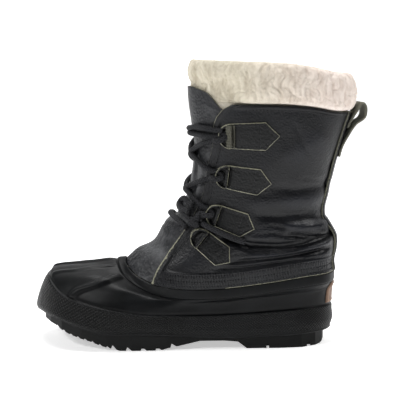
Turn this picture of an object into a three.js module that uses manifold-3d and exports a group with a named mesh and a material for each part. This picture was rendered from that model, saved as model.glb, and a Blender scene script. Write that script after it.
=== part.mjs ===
// Pac boot for the left foot: a moulded rubber foot with a laced leather shaft and a felt liner.
// Millimetres, +Z up. The toe points to -X, the outer side of the foot to -Y, and the sole stands on z = 0.
// While the pieces are made, x is 0 at the back of the heel and the toe tip is at -footLength.

import * as THREE from "three";
import { mergeVertices } from "three/addons/utils/BufferGeometryUtils.js";
import Module from "manifold-3d";

const wasm = await Module();
wasm.setup();

// Driving dimensions of the rubber foot
const footLength = 296;
const ballHalfWidth = 54;
const rubberHeight = 80;
const rubberWall = 2.5;
const heelBelly = 3;
const toeBelly = 7;
const bandStep = 1.5;
const lipWidth = 9.5;
const lipStep = 1.3;
const toeRibRadius = 2.6;
const toeRibSink = 0.9;

// Driving dimensions of the leather shaft
const shaftHeight = 242;
const shaftHalfWidth = 50;
const leatherWall = 2.2;
const tongueWall = 2;
const tongueLap = 13;

// Driving dimensions of the sole
const soleInset = 1.6;
const heelInset = 4.5;
const treadPitch = 14.6;
const treadDepth = 4.2;
const channelWidth = 5;
const insoleThickness = 4;

// Driving dimensions of the liner and its cuff
const feltThickness = 6.5;
const cuffOut = 7;
const cuffWall = 17;
const cuffRise = 38;
const lockLength = 26;
const lockRadius = 6.5;

// Driving dimensions of the trim
const tabThickness = 2.2;
const tabLength = 40;
const tabHalfHeight = 12;
const ringWire = 2.8;
const ringHalfHeight = 11;
const ringReach = 11;
const ringLift = 0.3;
const laceDiameter = 5.5;
const laceShort = 2.5;
const stripWidth = 24;
const stripThickness = 2.4;
const loopBack = 17;
const loopWidth = 19;
const patchWidth = 36;
const patchHeight = 22;
const patchThickness = 1.3;
const clearance = 0.3;

// Samples around every loop of the foot and shaft, the same for all, so that facets of neighbours agree
const around = 32;

// A table's rows become one array for each named column
function table(columns, rows) {
  return Object.fromEntries(columns.map((name, i) => [name, rows.map((row) => row[i])]));
}

// The foot from the back of the heel (row 0) to the toe tip (row 10). along is a share of the foot's length;
// outer and inner are half widths and sweep is the tip's offset, shares of the ball's half width; edge, band
// and shoulder are heights, shares of the rubber's height; tuck is how far the shoulder leans in, in shares of
// the ball's half width, as lean is for the band's top; swell lifts the surface over the shoulder, in shares of
// the rubber's height; lipTurn is 0 where the lip hangs straight down and 1 where it points to the toe
const foot = table(
  ["along", "outer", "inner", "edge", "band", "lean", "shoulder", "tuck", "swell", "lipTurn"],
  [
    [0.0, 0.0, 0.0, 0.18, 0.49, -0.01, 0.69, -0.02, 0.0, 0.0],
    [0.03, 0.352, 0.352, 0.18, 0.505, -0.01, 0.69, -0.02, 0.0, 0.0],
    [0.11, 0.593, 0.593, 0.17, 0.5, 0.0, 0.675, -0.01, 0.0, 0.0],
    [0.24, 0.68, 0.67, 0.147, 0.465, 0.0, 0.63, 0.0, 0.0, 0.0],
    [0.37, 0.75, 0.715, 0.141, 0.44, 0.0, 0.58, 0.01, 0.0, 0.0],
    [0.5, 0.86, 0.79, 0.168, 0.44, 0.0, 0.565, 0.02, 0.005, 0.0],
    [0.63, 0.97, 0.9, 0.198, 0.457, 0.0, 0.585, 0.045, 0.02, 0.1],
    [0.77, 0.985, 0.975, 0.205, 0.54, 0.01, 0.67, 0.1, 0.05, 0.3],
    [0.9, 0.76, 0.87, 0.33, 0.655, 0.035, 0.81, 0.19, 0.05, 0.7],
    [0.975, 0.31, 0.6, 0.372, 0.82, 0.08, 0.9, 0.27, 0.015, 0.95],
    [1.0, 0.0, 0.0, 0.34, 0.85, 0.1, 0.92, 0.33, -0.012, 1.0],
  ],
);
const toeSweep = 0.167 * ballHalfWidth;

// How a ring of the shaft goes round at its lower end, over the same rows: reach is the share of the way from
// back to front, wide the share of the half width, rise the share of the way from the side's height to the
// back's or the front's
const ringShape = table(
  ["reach", "wide", "rise"],
  [
    [0.0, 0.0, 1.0],
    [0.037, 0.543, 1.0],
    [0.142, 0.815, 0.9],
    [0.35, 0.94, 0.43],
    [0.532, 0.989, 0.095],
    [0.695, 0.978, 0.0],
    [0.828, 0.88, 0.1],
    [0.916, 0.685, 0.35],
    [0.963, 0.478, 0.58],
    [0.991, 0.24, 0.825],
    [1.0, 0.0, 1.0],
  ],
);

// Rings of the shaft from the rubber's rim (row 0) past the collar (row 10) to the tongue's top (row 11).
// front and back are shares of the foot's length from the heel, the heights are shares of the shaft's height,
// half is a share of the shaft's half width, and round is 0 for the rim's shape and 1 for an ellipse
const shaft = table(
  ["front", "back", "frontUp", "sideUp", "backUp", "half", "round"],
  [
    [0.704, -0.01, 0.346, 0.252, 0.309, 0.92, 0.0],
    [0.664, -0.005, 0.39, 0.31, 0.356, 0.93, 0.12],
    [0.611, -0.013, 0.433, 0.375, 0.415, 0.926, 0.3],
    [0.576, -0.008, 0.507, 0.445, 0.468, 0.904, 0.5],
    [0.531, 0.026, 0.554, 0.51, 0.525, 0.88, 0.7],
    [0.503, 0.029, 0.612, 0.585, 0.58, 0.876, 0.85],
    [0.489, 0.015, 0.674, 0.66, 0.655, 0.89, 0.95],
    [0.479, -0.003, 0.756, 0.75, 0.75, 0.92, 1.0],
    [0.476, -0.022, 0.843, 0.843, 0.84, 0.96, 1.0],
    [0.486, -0.039, 0.926, 0.926, 0.91, 0.988, 1.0],
    [0.495, -0.053, 1.004, 1.0, 0.967, 1.0, 1.0],
    [0.498, -0.062, 1.075, 1.07, 1.03, 1.01, 1.0],
  ],
);
const rimRing = 0;
const collarRing = 10;
const topRing = 11;
const toeRow = 10;
const rowsAround = 2 * toeRow;

// Side view of the throat, where the quarters stop: distance from the heel as a share of the foot's length,
// height as a share of the shaft's height
const throat = table(
  ["along", "up"],
  [
    [0.618, 0.235],
    [0.602, 0.269],
    [0.581, 0.332],
    [0.541, 0.407],
    [0.495, 0.485],
    [0.461, 0.554],
    [0.432, 0.632],
    [0.416, 0.754],
    [0.402, 0.815],
    [0.396, 0.917],
    [0.388, 0.948],
    [0.367, 0.98],
    [0.338, 1.0],
  ],
);

// Side view of the tongue's top edge, from the front to where it goes under the collar
const tongueTop = table(
  ["along", "up"],
  [
    [0.55, 1.064],
    [0.47, 1.064],
    [0.442, 1.053],
    [0.425, 1.045],
    [0.408, 1.025],
    [0.38, 0.985],
    [0.34, 0.96],
  ],
);

// Side view of the sole's underside from the toe back, as for the throat, heights as shares of the rubber's
// height
const underside = table(
  ["along", "up"],
  [
    [1.02, 0.28],
    [0.99, 0.265],
    [0.959, 0.26],
    [0.936, 0.245],
    [0.915, 0.215],
    [0.878, 0.16],
    [0.841, 0.13],
    [0.806, 0.1],
    [0.772, 0.058],
    [0.738, 0.03],
    [0.705, 0.0],
  ],
);
const shank = table(
  ["along", "up"],
  [
    [0.57, 0.0],
    [0.546, 0.025],
    [0.506, 0.052],
    [0.44, 0.105],
    [0.36, 0.102],
    [0.313, 0.086],
    [0.283, 0.0],
    [0.035, 0.0],
    [0.018, 0.035],
    [-0.03, 0.06],
  ],
);

// Number helpers
const mix = (a, b, t) => a + (b - a) * t;
const clamp = (t, low, high) => Math.min(Math.max(t, low), high);

// A smooth curve through evenly numbered values
function smoothValue(values, at, closed = false) {
  const count = values.length;
  const start = closed ? Math.floor(at) : clamp(Math.floor(at), 0, count - 2);
  const t = at - start;
  const value = (i) => (closed ? values[((i % count) + count) % count] : values[clamp(i, 0, count - 1)]);
  const [a, b, c, d] = [value(start - 1), value(start), value(start + 1), value(start + 2)];
  return b + 0.5 * t * (c - a + t * (2 * a - 5 * b + 4 * c - d + t * (3 * (b - c) + d - a)));
}

// Rows 0 to 20 go round the foot: down the outer side to the toe at 10 and back along the inner side
const sideOf = (row) => (row < toeRow ? -1 : 1);
const halfRow = (row) => (row <= toeRow ? row : rowsAround - row);

// One value for each row all the way round, from a function of the row in the tables and the side
function loopColumn(valueAt) {
  return Array.from({ length: rowsAround }, (_, row) => valueAt(halfRow(row), sideOf(row)));
}

// Levels of the rubber foot: 0 sole edge, 1 belly, 2 band top, 3 shoulder, 4 saddle, 5 lip, 6 rim
const levels = { edge: 0, belly: 1, band: 2, shoulder: 3, saddle: 4, lip: 5, rim: 6 };

function shaftRingPoint(ring, row, side) {
  const round = smoothValue(shaft.round, ring);
  const turn = (Math.PI * row) / toeRow;
  const reach = mix(ringShape.reach[row], (1 - Math.cos(turn)) / 2, round);
  const wide = mix(ringShape.wide[row], Math.sin(turn), round);
  const end = row > toeRow / 2 ? shaft.frontUp : shaft.backUp;
  const up = mix(smoothValue(shaft.sideUp, ring), smoothValue(end, ring), ringShape.rise[row]);
  const along = mix(smoothValue(shaft.back, ring), smoothValue(shaft.front, ring), reach);
  const half = smoothValue(shaft.half, ring) * shaftHalfWidth;
  return new THREE.Vector3(-along * footLength, side * half * wide, up * shaftHeight);
}

function footPoint(level, row, side, belly) {
  const wide = (side < 0 ? foot.outer[row] : foot.inner[row]) * ballHalfWidth;
  const sweep = row === toeRow ? toeSweep : side * wide;
  const outline = new THREE.Vector3(-foot.along[row] * footLength, sweep, 0);
  const share = foot.along[row];
  const outward = new THREE.Vector3(mix(1, -1, clamp(share * 1.6 - 0.3, 0, 1)), 0, 0);
  if (row > 0 && row < toeRow) outward.set(-(share - 0.5) * 2 * Math.abs(share - 0.5) * 2, side, 0).normalize();
  if (level === levels.edge) return outline.setZ(foot.edge[row] * rubberHeight);
  if (level === levels.belly) {
    const height = mix(foot.edge[row], foot.band[row], mix(0.45, 0.18, share ** 3)) * rubberHeight;
    return outline.addScaledVector(outward, belly * mix(heelBelly, toeBelly, share ** 3)).setZ(height);
  }
  if (level === levels.band) {
    outline.addScaledVector(outward, -foot.lean[row] * ballHalfWidth);
    return outline.setZ(foot.band[row] * rubberHeight);
  }
  const shoulder = outline.clone().addScaledVector(outward, -foot.tuck[row] * ballHalfWidth);
  shoulder.z = foot.shoulder[row] * rubberHeight;
  if (level === levels.shoulder) return shoulder;
  const rim = shaftRingPoint(rimRing, row, side);
  if (level === levels.rim) return rim;
  const down = new THREE.Vector3(0, 0.05 * side, -1);
  const forward = shoulder.clone().sub(rim).normalize();
  const lipWay = down.lerp(forward, foot.lipTurn[row]).normalize();
  const lip = rim.clone().addScaledVector(lipWay, lipWidth);
  if (level === levels.lip) return lip;
  const saddle = shoulder.clone().lerp(lip, 0.5);
  const swell = foot.swell[row] * rubberHeight;
  return saddle.add(new THREE.Vector3(0, row < toeRow ? 0.5 * side * swell : 0, swell));
}

// A surface is a function of a level or ring and a row; it blends smoothly through its own lattice of points
function makeSurface(count, pointAt) {
  const axes = ["x", "y", "z"];
  const lattice = Array.from({ length: count }, (_, level) => {
    const points = loopColumn((row, side) => pointAt(level, row, side));
    return axes.map((axis) => points.map((point) => point[axis]));
  });
  return (level, row) => {
    const point = new THREE.Vector3();
    axes.forEach((axis, i) => {
      point[axis] = smoothValue(lattice.map((columns) => smoothValue(columns[i], row, true)), level);
    });
    return point;
  };
}
const rubberSurface = makeSurface(levels.rim + 1, (level, row, side) => footPoint(level, row, side, 1));
const innerRubberSurface = makeSurface(levels.rim + 1, (level, row, side) => footPoint(level, row, side, 0));
const shaftSurface = makeSurface(topRing + 1, shaftRingPoint);

// Outward normal of a surface, from two short steps on it
function normalAt(surface, level, row) {
  const step = 0.05;
  const up = surface(level + step, row).sub(surface(level - step, row));
  const round = surface(level, row + step).sub(surface(level, row - step));
  return up.cross(round).normalize();
}

function offsetPoint(surface, level, row, offset) {
  return surface(level, row).addScaledVector(normalAt(surface, level, row), offset);
}

// A closed loop of points on a surface at one level, moved out by an offset that may depend on the row
function offsetLoop(surface, level, offset) {
  return Array.from({ length: around }, (_, i) => {
    const row = (i * rowsAround) / around;
    return offsetPoint(surface, level, row, typeof offset === "function" ? offset(row) : offset);
  });
}

// Height of the sole's edge at a distance along the foot
function edgeHeight(x) {
  const share = clamp(-x / footLength, 0, 1);
  const row = clamp(foot.along.findIndex((along) => along >= share), 1, toeRow);
  const t = (share - foot.along[row - 1]) / (foot.along[row] - foot.along[row - 1]);
  return smoothValue(foot.edge, row - 1 + t) * rubberHeight;
}

// A loop at the sole's edge, moved out in plan and lifted over the edge's height
function edgeLoop(offset, rise) {
  return Array.from({ length: around }, (_, i) => {
    const row = (i * rowsAround) / around;
    const normal = normalAt(innerRubberSurface, levels.edge, row).setZ(0).normalize();
    const point = innerRubberSurface(levels.edge, row);
    point.addScaledVector(normal, typeof offset === "function" ? offset(row) : offset);
    return point.setZ(edgeHeight(point.x) + rise);
  });
}

// Mesh from loops of points, each joined to the next. The last loop joins the first, or both ends are
// covered by ladders of triangles across the loop
function loftGeometry(loops, endToEnd) {
  const count = loops[0].length;
  const points = loops.flat();
  const at = (k) => points[k];
  const positions = points.flatMap((point) => [point.x, point.y, point.z]);
  const index = [];
  const spans = endToEnd ? loops.length : loops.length - 1;
  for (let loop = 0; loop < spans; loop++) {
    const next = (loop + 1) % loops.length;
    for (let i = 0; i < count; i++) {
      const j = (i + 1) % count;
      const [a, b, c, d] = [loop * count + i, loop * count + j, next * count + j, next * count + i];
      const shortAcross = at(a).distanceTo(at(c)) <= at(b).distanceTo(at(d));
      if (shortAcross) index.push(a, b, c, a, c, d);
      else index.push(a, b, d, b, c, d);
    }
  }
  const ladder = (start, flip) => {
    for (let i = 0; i < count / 2; i++) {
      const [a, b] = [start + i, start + ((count - i) % count)];
      const [c, d] = [start + i + 1, start + count - i - 1];
      const triangles = [[a, b, c], [b, d, c]].filter((t) => new Set(t).size === 3);
      triangles.forEach(([p, q, r]) => (flip ? index.push(p, r, q) : index.push(p, q, r)));
    }
  };
  if (!endToEnd) {
    ladder(0, false);
    ladder((loops.length - 1) * count, true);
  }
  const geometry = new THREE.BufferGeometry();
  geometry.setAttribute("position", new THREE.Float32BufferAttribute(positions, 3));
  geometry.setIndex(index);
  return facingOut(geometry);
}

// Signed volume tells whether the faces point out; if not, every triangle is turned over
function facingOut(geometry) {
  const position = geometry.getAttribute("position");
  const index = geometry.getIndex().array;
  const corner = (k) => new THREE.Vector3().fromBufferAttribute(position, index[k]);
  let volume = 0;
  for (let k = 0; k < index.length; k += 3) volume += corner(k).dot(corner(k + 1).cross(corner(k + 2)));
  if (volume < 0) for (let k = 0; k < index.length; k += 3) [index[k + 1], index[k + 2]] = [index[k + 2], index[k + 1]];
  return geometry;
}

// Solids for cutting and joining, and their meshes
function toSolid(geometry) {
  const bare = geometry.clone();
  bare.deleteAttribute("normal");
  bare.deleteAttribute("uv");
  const merged = mergeVertices(bare, 1e-4);
  const vertProperties = new Float32Array(merged.getAttribute("position").array);
  const triVerts = new Uint32Array(merged.getIndex().array);
  return new wasm.Manifold(new wasm.Mesh({ numProp: 3, vertProperties, triVerts }));
}

function toGeometry(solid) {
  const mesh = solid.simplify(0.004).getMesh();
  const geometry = new THREE.BufferGeometry();
  geometry.setAttribute("position", new THREE.BufferAttribute(new Float32Array(mesh.vertProperties), 3));
  geometry.setIndex(new THREE.BufferAttribute(new Uint32Array(mesh.triVerts), 1));
  return geometry;
}

// A side view outline of (x, z) points made into a prism across the boot, between two y values
function sidePrism(points, yLow, yHigh, hole) {
  const shape = new THREE.Shape(points.map(([x, z]) => new THREE.Vector2(x, z)));
  if (hole) shape.holes.push(new THREE.Path(hole.map(([x, z]) => new THREE.Vector2(x, z))));
  const geometry = new THREE.ExtrudeGeometry(shape, { depth: yHigh - yLow, bevelEnabled: false, steps: 1 });
  return geometry.rotateX(Math.PI / 2).translate(0, yHigh, 0);
}
const farAside = 2 * ballHalfWidth;
const farUp = 2 * shaftHeight;

// Points of a side view table, in millimetres
function sideLine(rows, height) {
  return rows.along.map((along, i) => [-along * footLength, rows.up[i] * height]);
}

const boot = new THREE.Group();

function addPiece(name, geometry, colour, roughness, metalness) {
  geometry.computeVertexNormals();
  const material = new THREE.MeshStandardMaterial({ color: colour, roughness, metalness });
  const mesh = new THREE.Mesh(geometry, material);
  mesh.name = name;
  boot.add(mesh);
}

// How far inside the shaft's surface the rubber's flange stands: under the quarters at the sides, and under
// the quarters and the vamp in front
const frontShare = (row) => THREE.MathUtils.smoothstep(halfRow(row), 4.6, 5.7);
const flangeInset = (row) => leatherWall + 1.5 * clearance + frontShare(row) * (tongueWall + clearance);
const flangeRing = 1;

function makeRubberShell() {
  const out = (level, offset) => offsetLoop(rubberSurface, level, offset);
  const inside = (level, offset) => offsetLoop(innerRubberSurface, level, offset);
  const flange = (ring, extra) =>
    offsetLoop(shaftSurface, ring, (row) => -flangeInset(row) - extra);
  const loops = [
    edgeLoop(0, 0),
    out(levels.edge + 0.45, 0),
    out(levels.belly, 0),
    out(levels.band - 0.4, 0.6),
    out(levels.band - 0.06, bandStep),
    out(levels.band, 0),
    out(levels.band + 0.5, 0),
    out(levels.shoulder, 0),
    out(levels.shoulder + 0.5, 0),
    out(levels.saddle, 0),
    out(levels.lip, 0),
    out(levels.lip + 0.08, lipStep),
    offsetLoop(shaftSurface, rimRing + 0.001, lipStep),
    flange(rimRing + 0.001, 0),
    flange(flangeRing, 0),
    flange(flangeRing, rubberWall * 0.8),
    flange(rimRing + 0.001, rubberWall * 0.8),
    inside(levels.lip, (row) => -flangeInset(row) - rubberWall * 0.8),
    inside(levels.saddle, -rubberWall),
    inside(levels.shoulder, -rubberWall),
    inside(levels.band, -rubberWall),
    edgeLoop(-rubberWall, 0),
  ];
  let shell = toSolid(loftGeometry(loops, true));
  const ribLevels = [levels.band + 0.1, 2.5, 3, 3.4, 3.8, 4.2, 4.6, levels.lip];
  for (const ribRow of [8.35, 9.25, 10, 10.75, 11.65]) {
    const path = ribLevels.map((level) => offsetPoint(rubberSurface, level, ribRow, -toeRibSink));
    shell = shell.add(toSolid(cordGeometry(path, 2 * toeRibRadius, 5, 7)));
  }
  return toGeometry(shell);
}

// A round cord or rib along a smooth path
function cordGeometry(path, diameter, sides, steps) {
  const curve = new THREE.CatmullRomCurve3(path, false, "centripetal");
  const section = new THREE.Shape(
    Array.from({ length: sides }, (_, i) => {
      const turn = (2 * Math.PI * i) / sides;
      return new THREE.Vector2(Math.cos(turn), Math.sin(turn)).multiplyScalar(diameter / 2);
    }),
  );
  return new THREE.ExtrudeGeometry(section, { extrudePath: curve, steps });
}

// Outsole: the foot's outline, cut below by the side view of the tread, with channels between the lugs
function treadLine() {
  const line = [...sideLine(underside, rubberHeight), ...sideLine(shank, rubberHeight)];
  const heightAt = (x) => {
    const k = line.findIndex(([next]) => next > x);
    const [[x0, z0], [x1, z1]] = [line[k - 1], line[k]];
    return mix(z0, z1, (x - x0) / (x1 - x0));
  };
  const notches = [];
  const addNotches = (fromShare, toShare, pitch, depth) => {
    for (let x = -fromShare * footLength; x < -toShare * footLength; x += pitch) notches.push([x, pitch, depth]);
  };
  addNotches(0.93, 0.75, treadPitch * 0.52, treadDepth * 0.4);
  addNotches(0.735, 0.5, treadPitch, treadDepth);
  const cut = notches.flatMap(([x, pitch, depth]) => [
    [x, heightAt(x)],
    [x + 0.06 * pitch, heightAt(x) + depth],
    [x + 0.4 * pitch, heightAt(x + 0.4 * pitch)],
  ]);
  const inNotch = (x) => notches.some(([start, pitch]) => x >= start - 0.5 && x <= start + 0.4 * pitch + 0.5);
  return [...line.filter(([x]) => !inNotch(x)), ...cut].sort((a, b) => a[0] - b[0]);
}

function makeOutsole() {
  const inset = (row) => -soleInset - heelInset * (1 - THREE.MathUtils.smoothstep(halfRow(row), 0, 2));
  const top = edgeLoop(inset, -2 * clearance);
  const bottom = top.map((point) => point.clone().setZ(-2));
  const block = toSolid(loftGeometry([bottom, top], false));
  const line = treadLine();
  const outline = [...line, [footLength * 0.1, rubberHeight], [-footLength * 1.1, rubberHeight]];
  let sole = block.intersect(toSolid(sidePrism(outline, -farAside, farAside)));
  const heelBars = [0.08, 0.15, 0.22];
  for (const share of heelBars) {
    const x = -share * footLength;
    const groove = [[x, -1], [x + 3.4, -1], [x + 3.4, treadDepth], [x, treadDepth]];
    const reach = (0.42 + share) * ballHalfWidth;
    sole = sole.subtract(toSolid(sidePrism(groove, -reach, reach)));
  }
  const channel = (fromShare, toShare, y) => {
    const box = new THREE.BoxGeometry((toShare - fromShare) * footLength, channelWidth, treadDepth + 4);
    box.translate((-(fromShare + toShare) / 2) * footLength, y, treadDepth / 2 - 2);
    return toSolid(box);
  };
  for (const y of [-0.3, 0.3]) sole = sole.subtract(channel(0.57, 0.86, y * ballHalfWidth));
  return toGeometry(sole);
}

function makeInsole() {
  const inset = rubberWall + 4 * clearance;
  return loftGeometry([edgeLoop(-inset, 0), edgeLoop(-inset, insoleThickness)], false);
}

// The leather wall of the shaft: a layer between two offsets of the shaft's surface, open at both ends
function shaftLayer(rings, outer, inner) {
  const outside = rings.map((ring) => offsetLoop(shaftSurface, ring, outer));
  const inside = rings.map((ring) => offsetLoop(shaftSurface, ring, inner)).reverse();
  return toSolid(loftGeometry([...outside, ...inside], true));
}

const lowRing = 0.06;
const shaftRings = [lowRing, flangeRing, 2, 3, 4, 5, 6.5, 8, collarRing];

function makeLeatherShaft() {
  const line = sideLine(throat, shaftHeight);
  const [lowX, lowZ] = line[0];
  const [highX, highZ] = line.at(-1);
  const front = [[highX, farUp], [-1.2 * footLength, farUp], [-1.2 * footLength, lowZ - 20], [lowX, lowZ - 20]];
  const opening = sidePrism([...line, [highX + 2, highZ + 9], ...front], -farAside, farAside);
  const wall = shaftLayer(shaftRings, 0, -leatherWall);
  return toGeometry(wall.subtract(toSolid(opening)));
}

function makeTongue() {
  const outer = -leatherWall - clearance;
  const wall = shaftLayer([...shaftRings, topRing], outer, outer - tongueWall);
  const back = sideLine(throat, shaftHeight).map(([x, z]) => [x + tongueLap, z - 4]);
  const top = sideLine(tongueTop, shaftHeight);
  const keep = [...back.slice(0, -2), ...top.slice(0, -1).reverse()];
  keep.push([-1.2 * footLength, top[0][1]], [-1.2 * footLength, 0], [back[0][0], 0]);
  return toGeometry(wall.intersect(toSolid(sidePrism(keep, -farAside, farAside))));
}

// A loop at the collar, moved out in plan and lifted
function collarLoop(offset, rise) {
  return Array.from({ length: around }, (_, i) => {
    const row = (i * rowsAround) / around;
    const normal = normalAt(shaftSurface, collarRing, row).setZ(0).normalize();
    const point = shaftSurface(collarRing, row);
    point.addScaledVector(normal, typeof offset === "function" ? offset(row) : offset);
    point.z += typeof rise === "function" ? rise(row) : rise;
    return point;
  });
}

// Felt liner: a hollow bootie that fills the rubber foot and the shaft, with a closed bottom
function makeFeltLiner() {
  const gap = rubberWall + 1;
  const underFlange = (row) => flangeInset(row) + rubberWall * 0.8 + 3 * clearance;
  const underTongue = leatherWall + tongueWall + 3 * clearance;
  const loopsAt = (extra) => {
    const inward = (gap) => (row) => -(typeof gap === "function" ? gap(row) : gap) - extra;
    const foot = (level, gap) => offsetLoop(innerRubberSurface, level, inward(gap));
    const leg = (ring, gap) => offsetLoop(shaftSurface, ring, inward(gap));
    const bottom = insoleThickness + clearance + extra;
    return [
      edgeLoop(-gap - 5 - extra * 0.6, bottom),
      edgeLoop(-gap - 1 - extra, bottom + 5),
      foot(levels.band, gap),
      foot(levels.shoulder, gap),
      foot(levels.saddle, gap + 3),
      foot(levels.lip, (row) => underFlange(row) + 1.8),
      leg(rimRing + 0.001, underFlange),
      leg(flangeRing, underFlange),
      leg(2, underTongue),
      leg(3, underTongue),
      leg(4, underTongue),
      leg(5, underTongue),
      leg(6.5, underTongue),
      leg(8, underTongue),
      collarLoop(-underTongue - extra, -clearance),
    ];
  };
  return loftGeometry([...loopsAt(0), ...loopsAt(feltThickness).reverse()], false);
}

// Fleece cuff: a thick soft ring over the collar, inside the tongue in front, with locks fused on
const cuffFront = (row) => THREE.MathUtils.smoothstep(halfRow(row), 5.4, 6.8);
const cuffTop = (row) => cuffRise * (1 + 0.053 * (1 - Math.cos((Math.PI * halfRow(row)) / toeRow)));

function cuffLoop(beside, inFront, riseShare) {
  const offset = (row) => mix(beside, inFront, cuffFront(row));
  return collarLoop(offset, (row) => mix(5 * clearance, cuffTop(row), riseShare));
}

function makeFleeceCuff() {
  const behindTongue = -leatherWall - tongueWall - 4 * clearance;
  const inner = cuffOut - cuffWall;
  const loops = [
    cuffLoop(0.5, behindTongue, 0),
    cuffLoop(cuffOut * 0.8, behindTongue, 0.16),
    cuffLoop(cuffOut, behindTongue, 0.42),
    cuffLoop(cuffOut * 0.9, behindTongue + 3, 0.7),
    cuffLoop(cuffOut * 0.3, behindTongue + 1, 0.92),
    cuffLoop(-4, -8, 1),
    cuffLoop(inner, inner - 2, 0.85),
    cuffLoop(inner - 2, inner - 3, 0.4),
    cuffLoop(inner - 1, inner - 2, 0),
  ];
  let cuff = toSolid(loftGeometry(loops, true));
  const perRing = 18;
  for (const [tier, share, lean] of [[0, 0.46, 0.16], [1, 0.72, -0.2]]) {
    for (let lock = 0; lock < perRing; lock++) {
      const row = ((lock + tier / 2) * rowsAround) / perRing;
      const byPullLoop = halfRow(row) < 1.3;
      if (tier === 0 && (cuffFront(row) > 0.02 || byPullLoop)) continue;
      const offset = mix(cuffOut * 0.55, behindTongue - 1, cuffFront(row));
      const normal = normalAt(shaftSurface, collarRing, row).setZ(0).normalize();
      const place = shaftSurface(collarRing, row).addScaledVector(normal, offset);
      place.z += cuffTop(row) * share;
      const cone = new THREE.ConeGeometry(lockRadius, lockLength, 4);
      cone.rotateX(Math.PI / 2);
      const wobble = 0.18 * Math.sin(lock * 2.4 + tier);
      const up = new THREE.Vector3(wobble * normal.y, -wobble * normal.x, 1).addScaledVector(normal, lean);
      cone.applyQuaternion(new THREE.Quaternion().setFromUnitVectors(new THREE.Vector3(0, 0, 1), up.normalize()));
      cone.translate(place.x, place.y, place.z);
      cuff = cuff.add(toSolid(cone));
    }
  }
  return toGeometry(cuff);
}

// Place on the shaft's outer side that shows at a point of the side view, found by Newton's method
function findOnShaft(along, up) {
  const goal = [-along * footLength, up * shaftHeight];
  let [ring, row] = [5, 6];
  const miss = (r, w) => {
    const point = shaftSurface(r, w);
    return [point.x - goal[0], point.z - goal[1]];
  };
  for (let pass = 0; pass < 30; pass++) {
    const step = 0.02;
    const [mx, mz] = miss(ring, row);
    const [ax, az] = miss(ring + step, row).map((value, i) => (value - [mx, mz][i]) / step);
    const [bx, bz] = miss(ring, row + step).map((value, i) => (value - [mx, mz][i]) / step);
    const det = ax * bz - bx * az;
    ring = clamp(ring - 0.6 * ((mx * bz - bx * mz) / det), 0.2, 10.5);
    row = clamp(row - 0.6 * ((ax * mz - mx * az) / det), 1, 9.5);
  }
  return { ring, row };
}

// Frame of a tab on one side: origin on the leather, a toward the tab's tip, b up across it, n outward
function tabFrame(place, tilt, side) {
  const row = side < 0 ? place.row : rowsAround - place.row;
  const origin = shaftSurface(place.ring, row);
  const n = normalAt(shaftSurface, place.ring, row);
  const a = new THREE.Vector3(Math.cos(tilt), 0, -Math.sin(tilt));
  a.addScaledVector(n, -a.dot(n)).normalize();
  const b = n.clone().cross(a);
  return { origin, a, b, n, basis: new THREE.Matrix4().makeBasis(a, b, n).setPosition(origin) };
}

// The lace tabs of one side, from the collar down: the D-ring's bar in the side view, as shares of the foot's
// length and the shaft's height, the tab's tilt in degrees, its length and its half height in shares of the
// first one's
const tabs = table(
  ["along", "up", "tilt", "length", "half"],
  [
    [0.336, 0.876, -1, 1.12, 1.0],
    [0.346, 0.711, 8, 1.02, 0.95],
    [0.378, 0.552, 19, 0.9, 0.9],
    [0.43, 0.453, 38, 0.84, 0.86],
  ],
);
const ringHeight = clearance + tabThickness + ringWire / 2 + ringLift + 0.2;

function tabShape(length, half) {
  const front = ringReach + ringWire;
  const shape = new THREE.Shape();
  shape.moveTo(length, 0);
  shape.lineTo(length * 0.72, half * 1.12);
  shape.lineTo(0, half);
  for (const turn of [0.18, 0.38, 0.62, 0.82]) {
    shape.lineTo(-front * Math.sin(Math.PI * turn), half * Math.cos(Math.PI * turn));
  }
  shape.lineTo(0, -half);
  shape.lineTo(length * 0.72, -half * 1.12);
  return shape;
}

const leatherLayer = shaftLayer(shaftRings, clearance + tabThickness, clearance);

function makeTab(frame, length, half) {
  const depth = 30;
  const cutter = new THREE.ExtrudeGeometry(tabShape(length, half), { depth, bevelEnabled: false });
  cutter.translate(0, 0, -depth / 2).applyMatrix4(frame.basis);
  const roll = new THREE.CylinderGeometry(ringWire / 2 + 1.9, ringWire / 2 + 1.9, 2 * half - 9, 8);
  const bore = new THREE.CylinderGeometry(ringWire / 2 + 0.5, ringWire / 2 + 0.5, 2 * half + 8, 8);
  for (const part of [roll, bore]) part.translate(0, 0, ringHeight).applyMatrix4(frame.basis);
  const plate = leatherLayer.intersect(toSolid(cutter));
  return toGeometry(plate.add(toSolid(roll)).subtract(toSolid(bore)));
}

// Closed tube of a D-ring: a straight bar and a bow toward the throat
function makeRing(frame, half) {
  const bow = [0, 0.08, 0.22, 0.36, 0.5, 0.64, 0.78, 0.92, 1];
  const path = bow.map((turn) => {
    const reach = ringReach * Math.sin(Math.PI * turn);
    return new THREE.Vector3(-reach, half * Math.cos(Math.PI * turn), ringHeight);
  });
  const loops = path.map((point, k) => {
    const before = path[(k + path.length - 1) % path.length];
    const after = path[(k + 1) % path.length];
    const into = point.clone().sub(before).normalize();
    const outOf = after.clone().sub(point).normalize();
    const across = into.clone().add(outOf).normalize().cross(new THREE.Vector3(0, 0, 1));
    const stretch = 1 / Math.max(0.6, Math.cos(into.angleTo(outOf) / 2));
    return Array.from({ length: 6 }, (_, i) => {
      const turn = (2 * Math.PI * (i + 0.5)) / 6;
      const ringPoint = point.clone().addScaledVector(across, Math.cos(turn) * stretch * (ringWire / 2));
      return ringPoint.setZ(ringHeight + (Math.sin(turn) * ringWire) / 2);
    });
  });
  return loftGeometry(loops, true).applyMatrix4(frame.basis);
}

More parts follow.
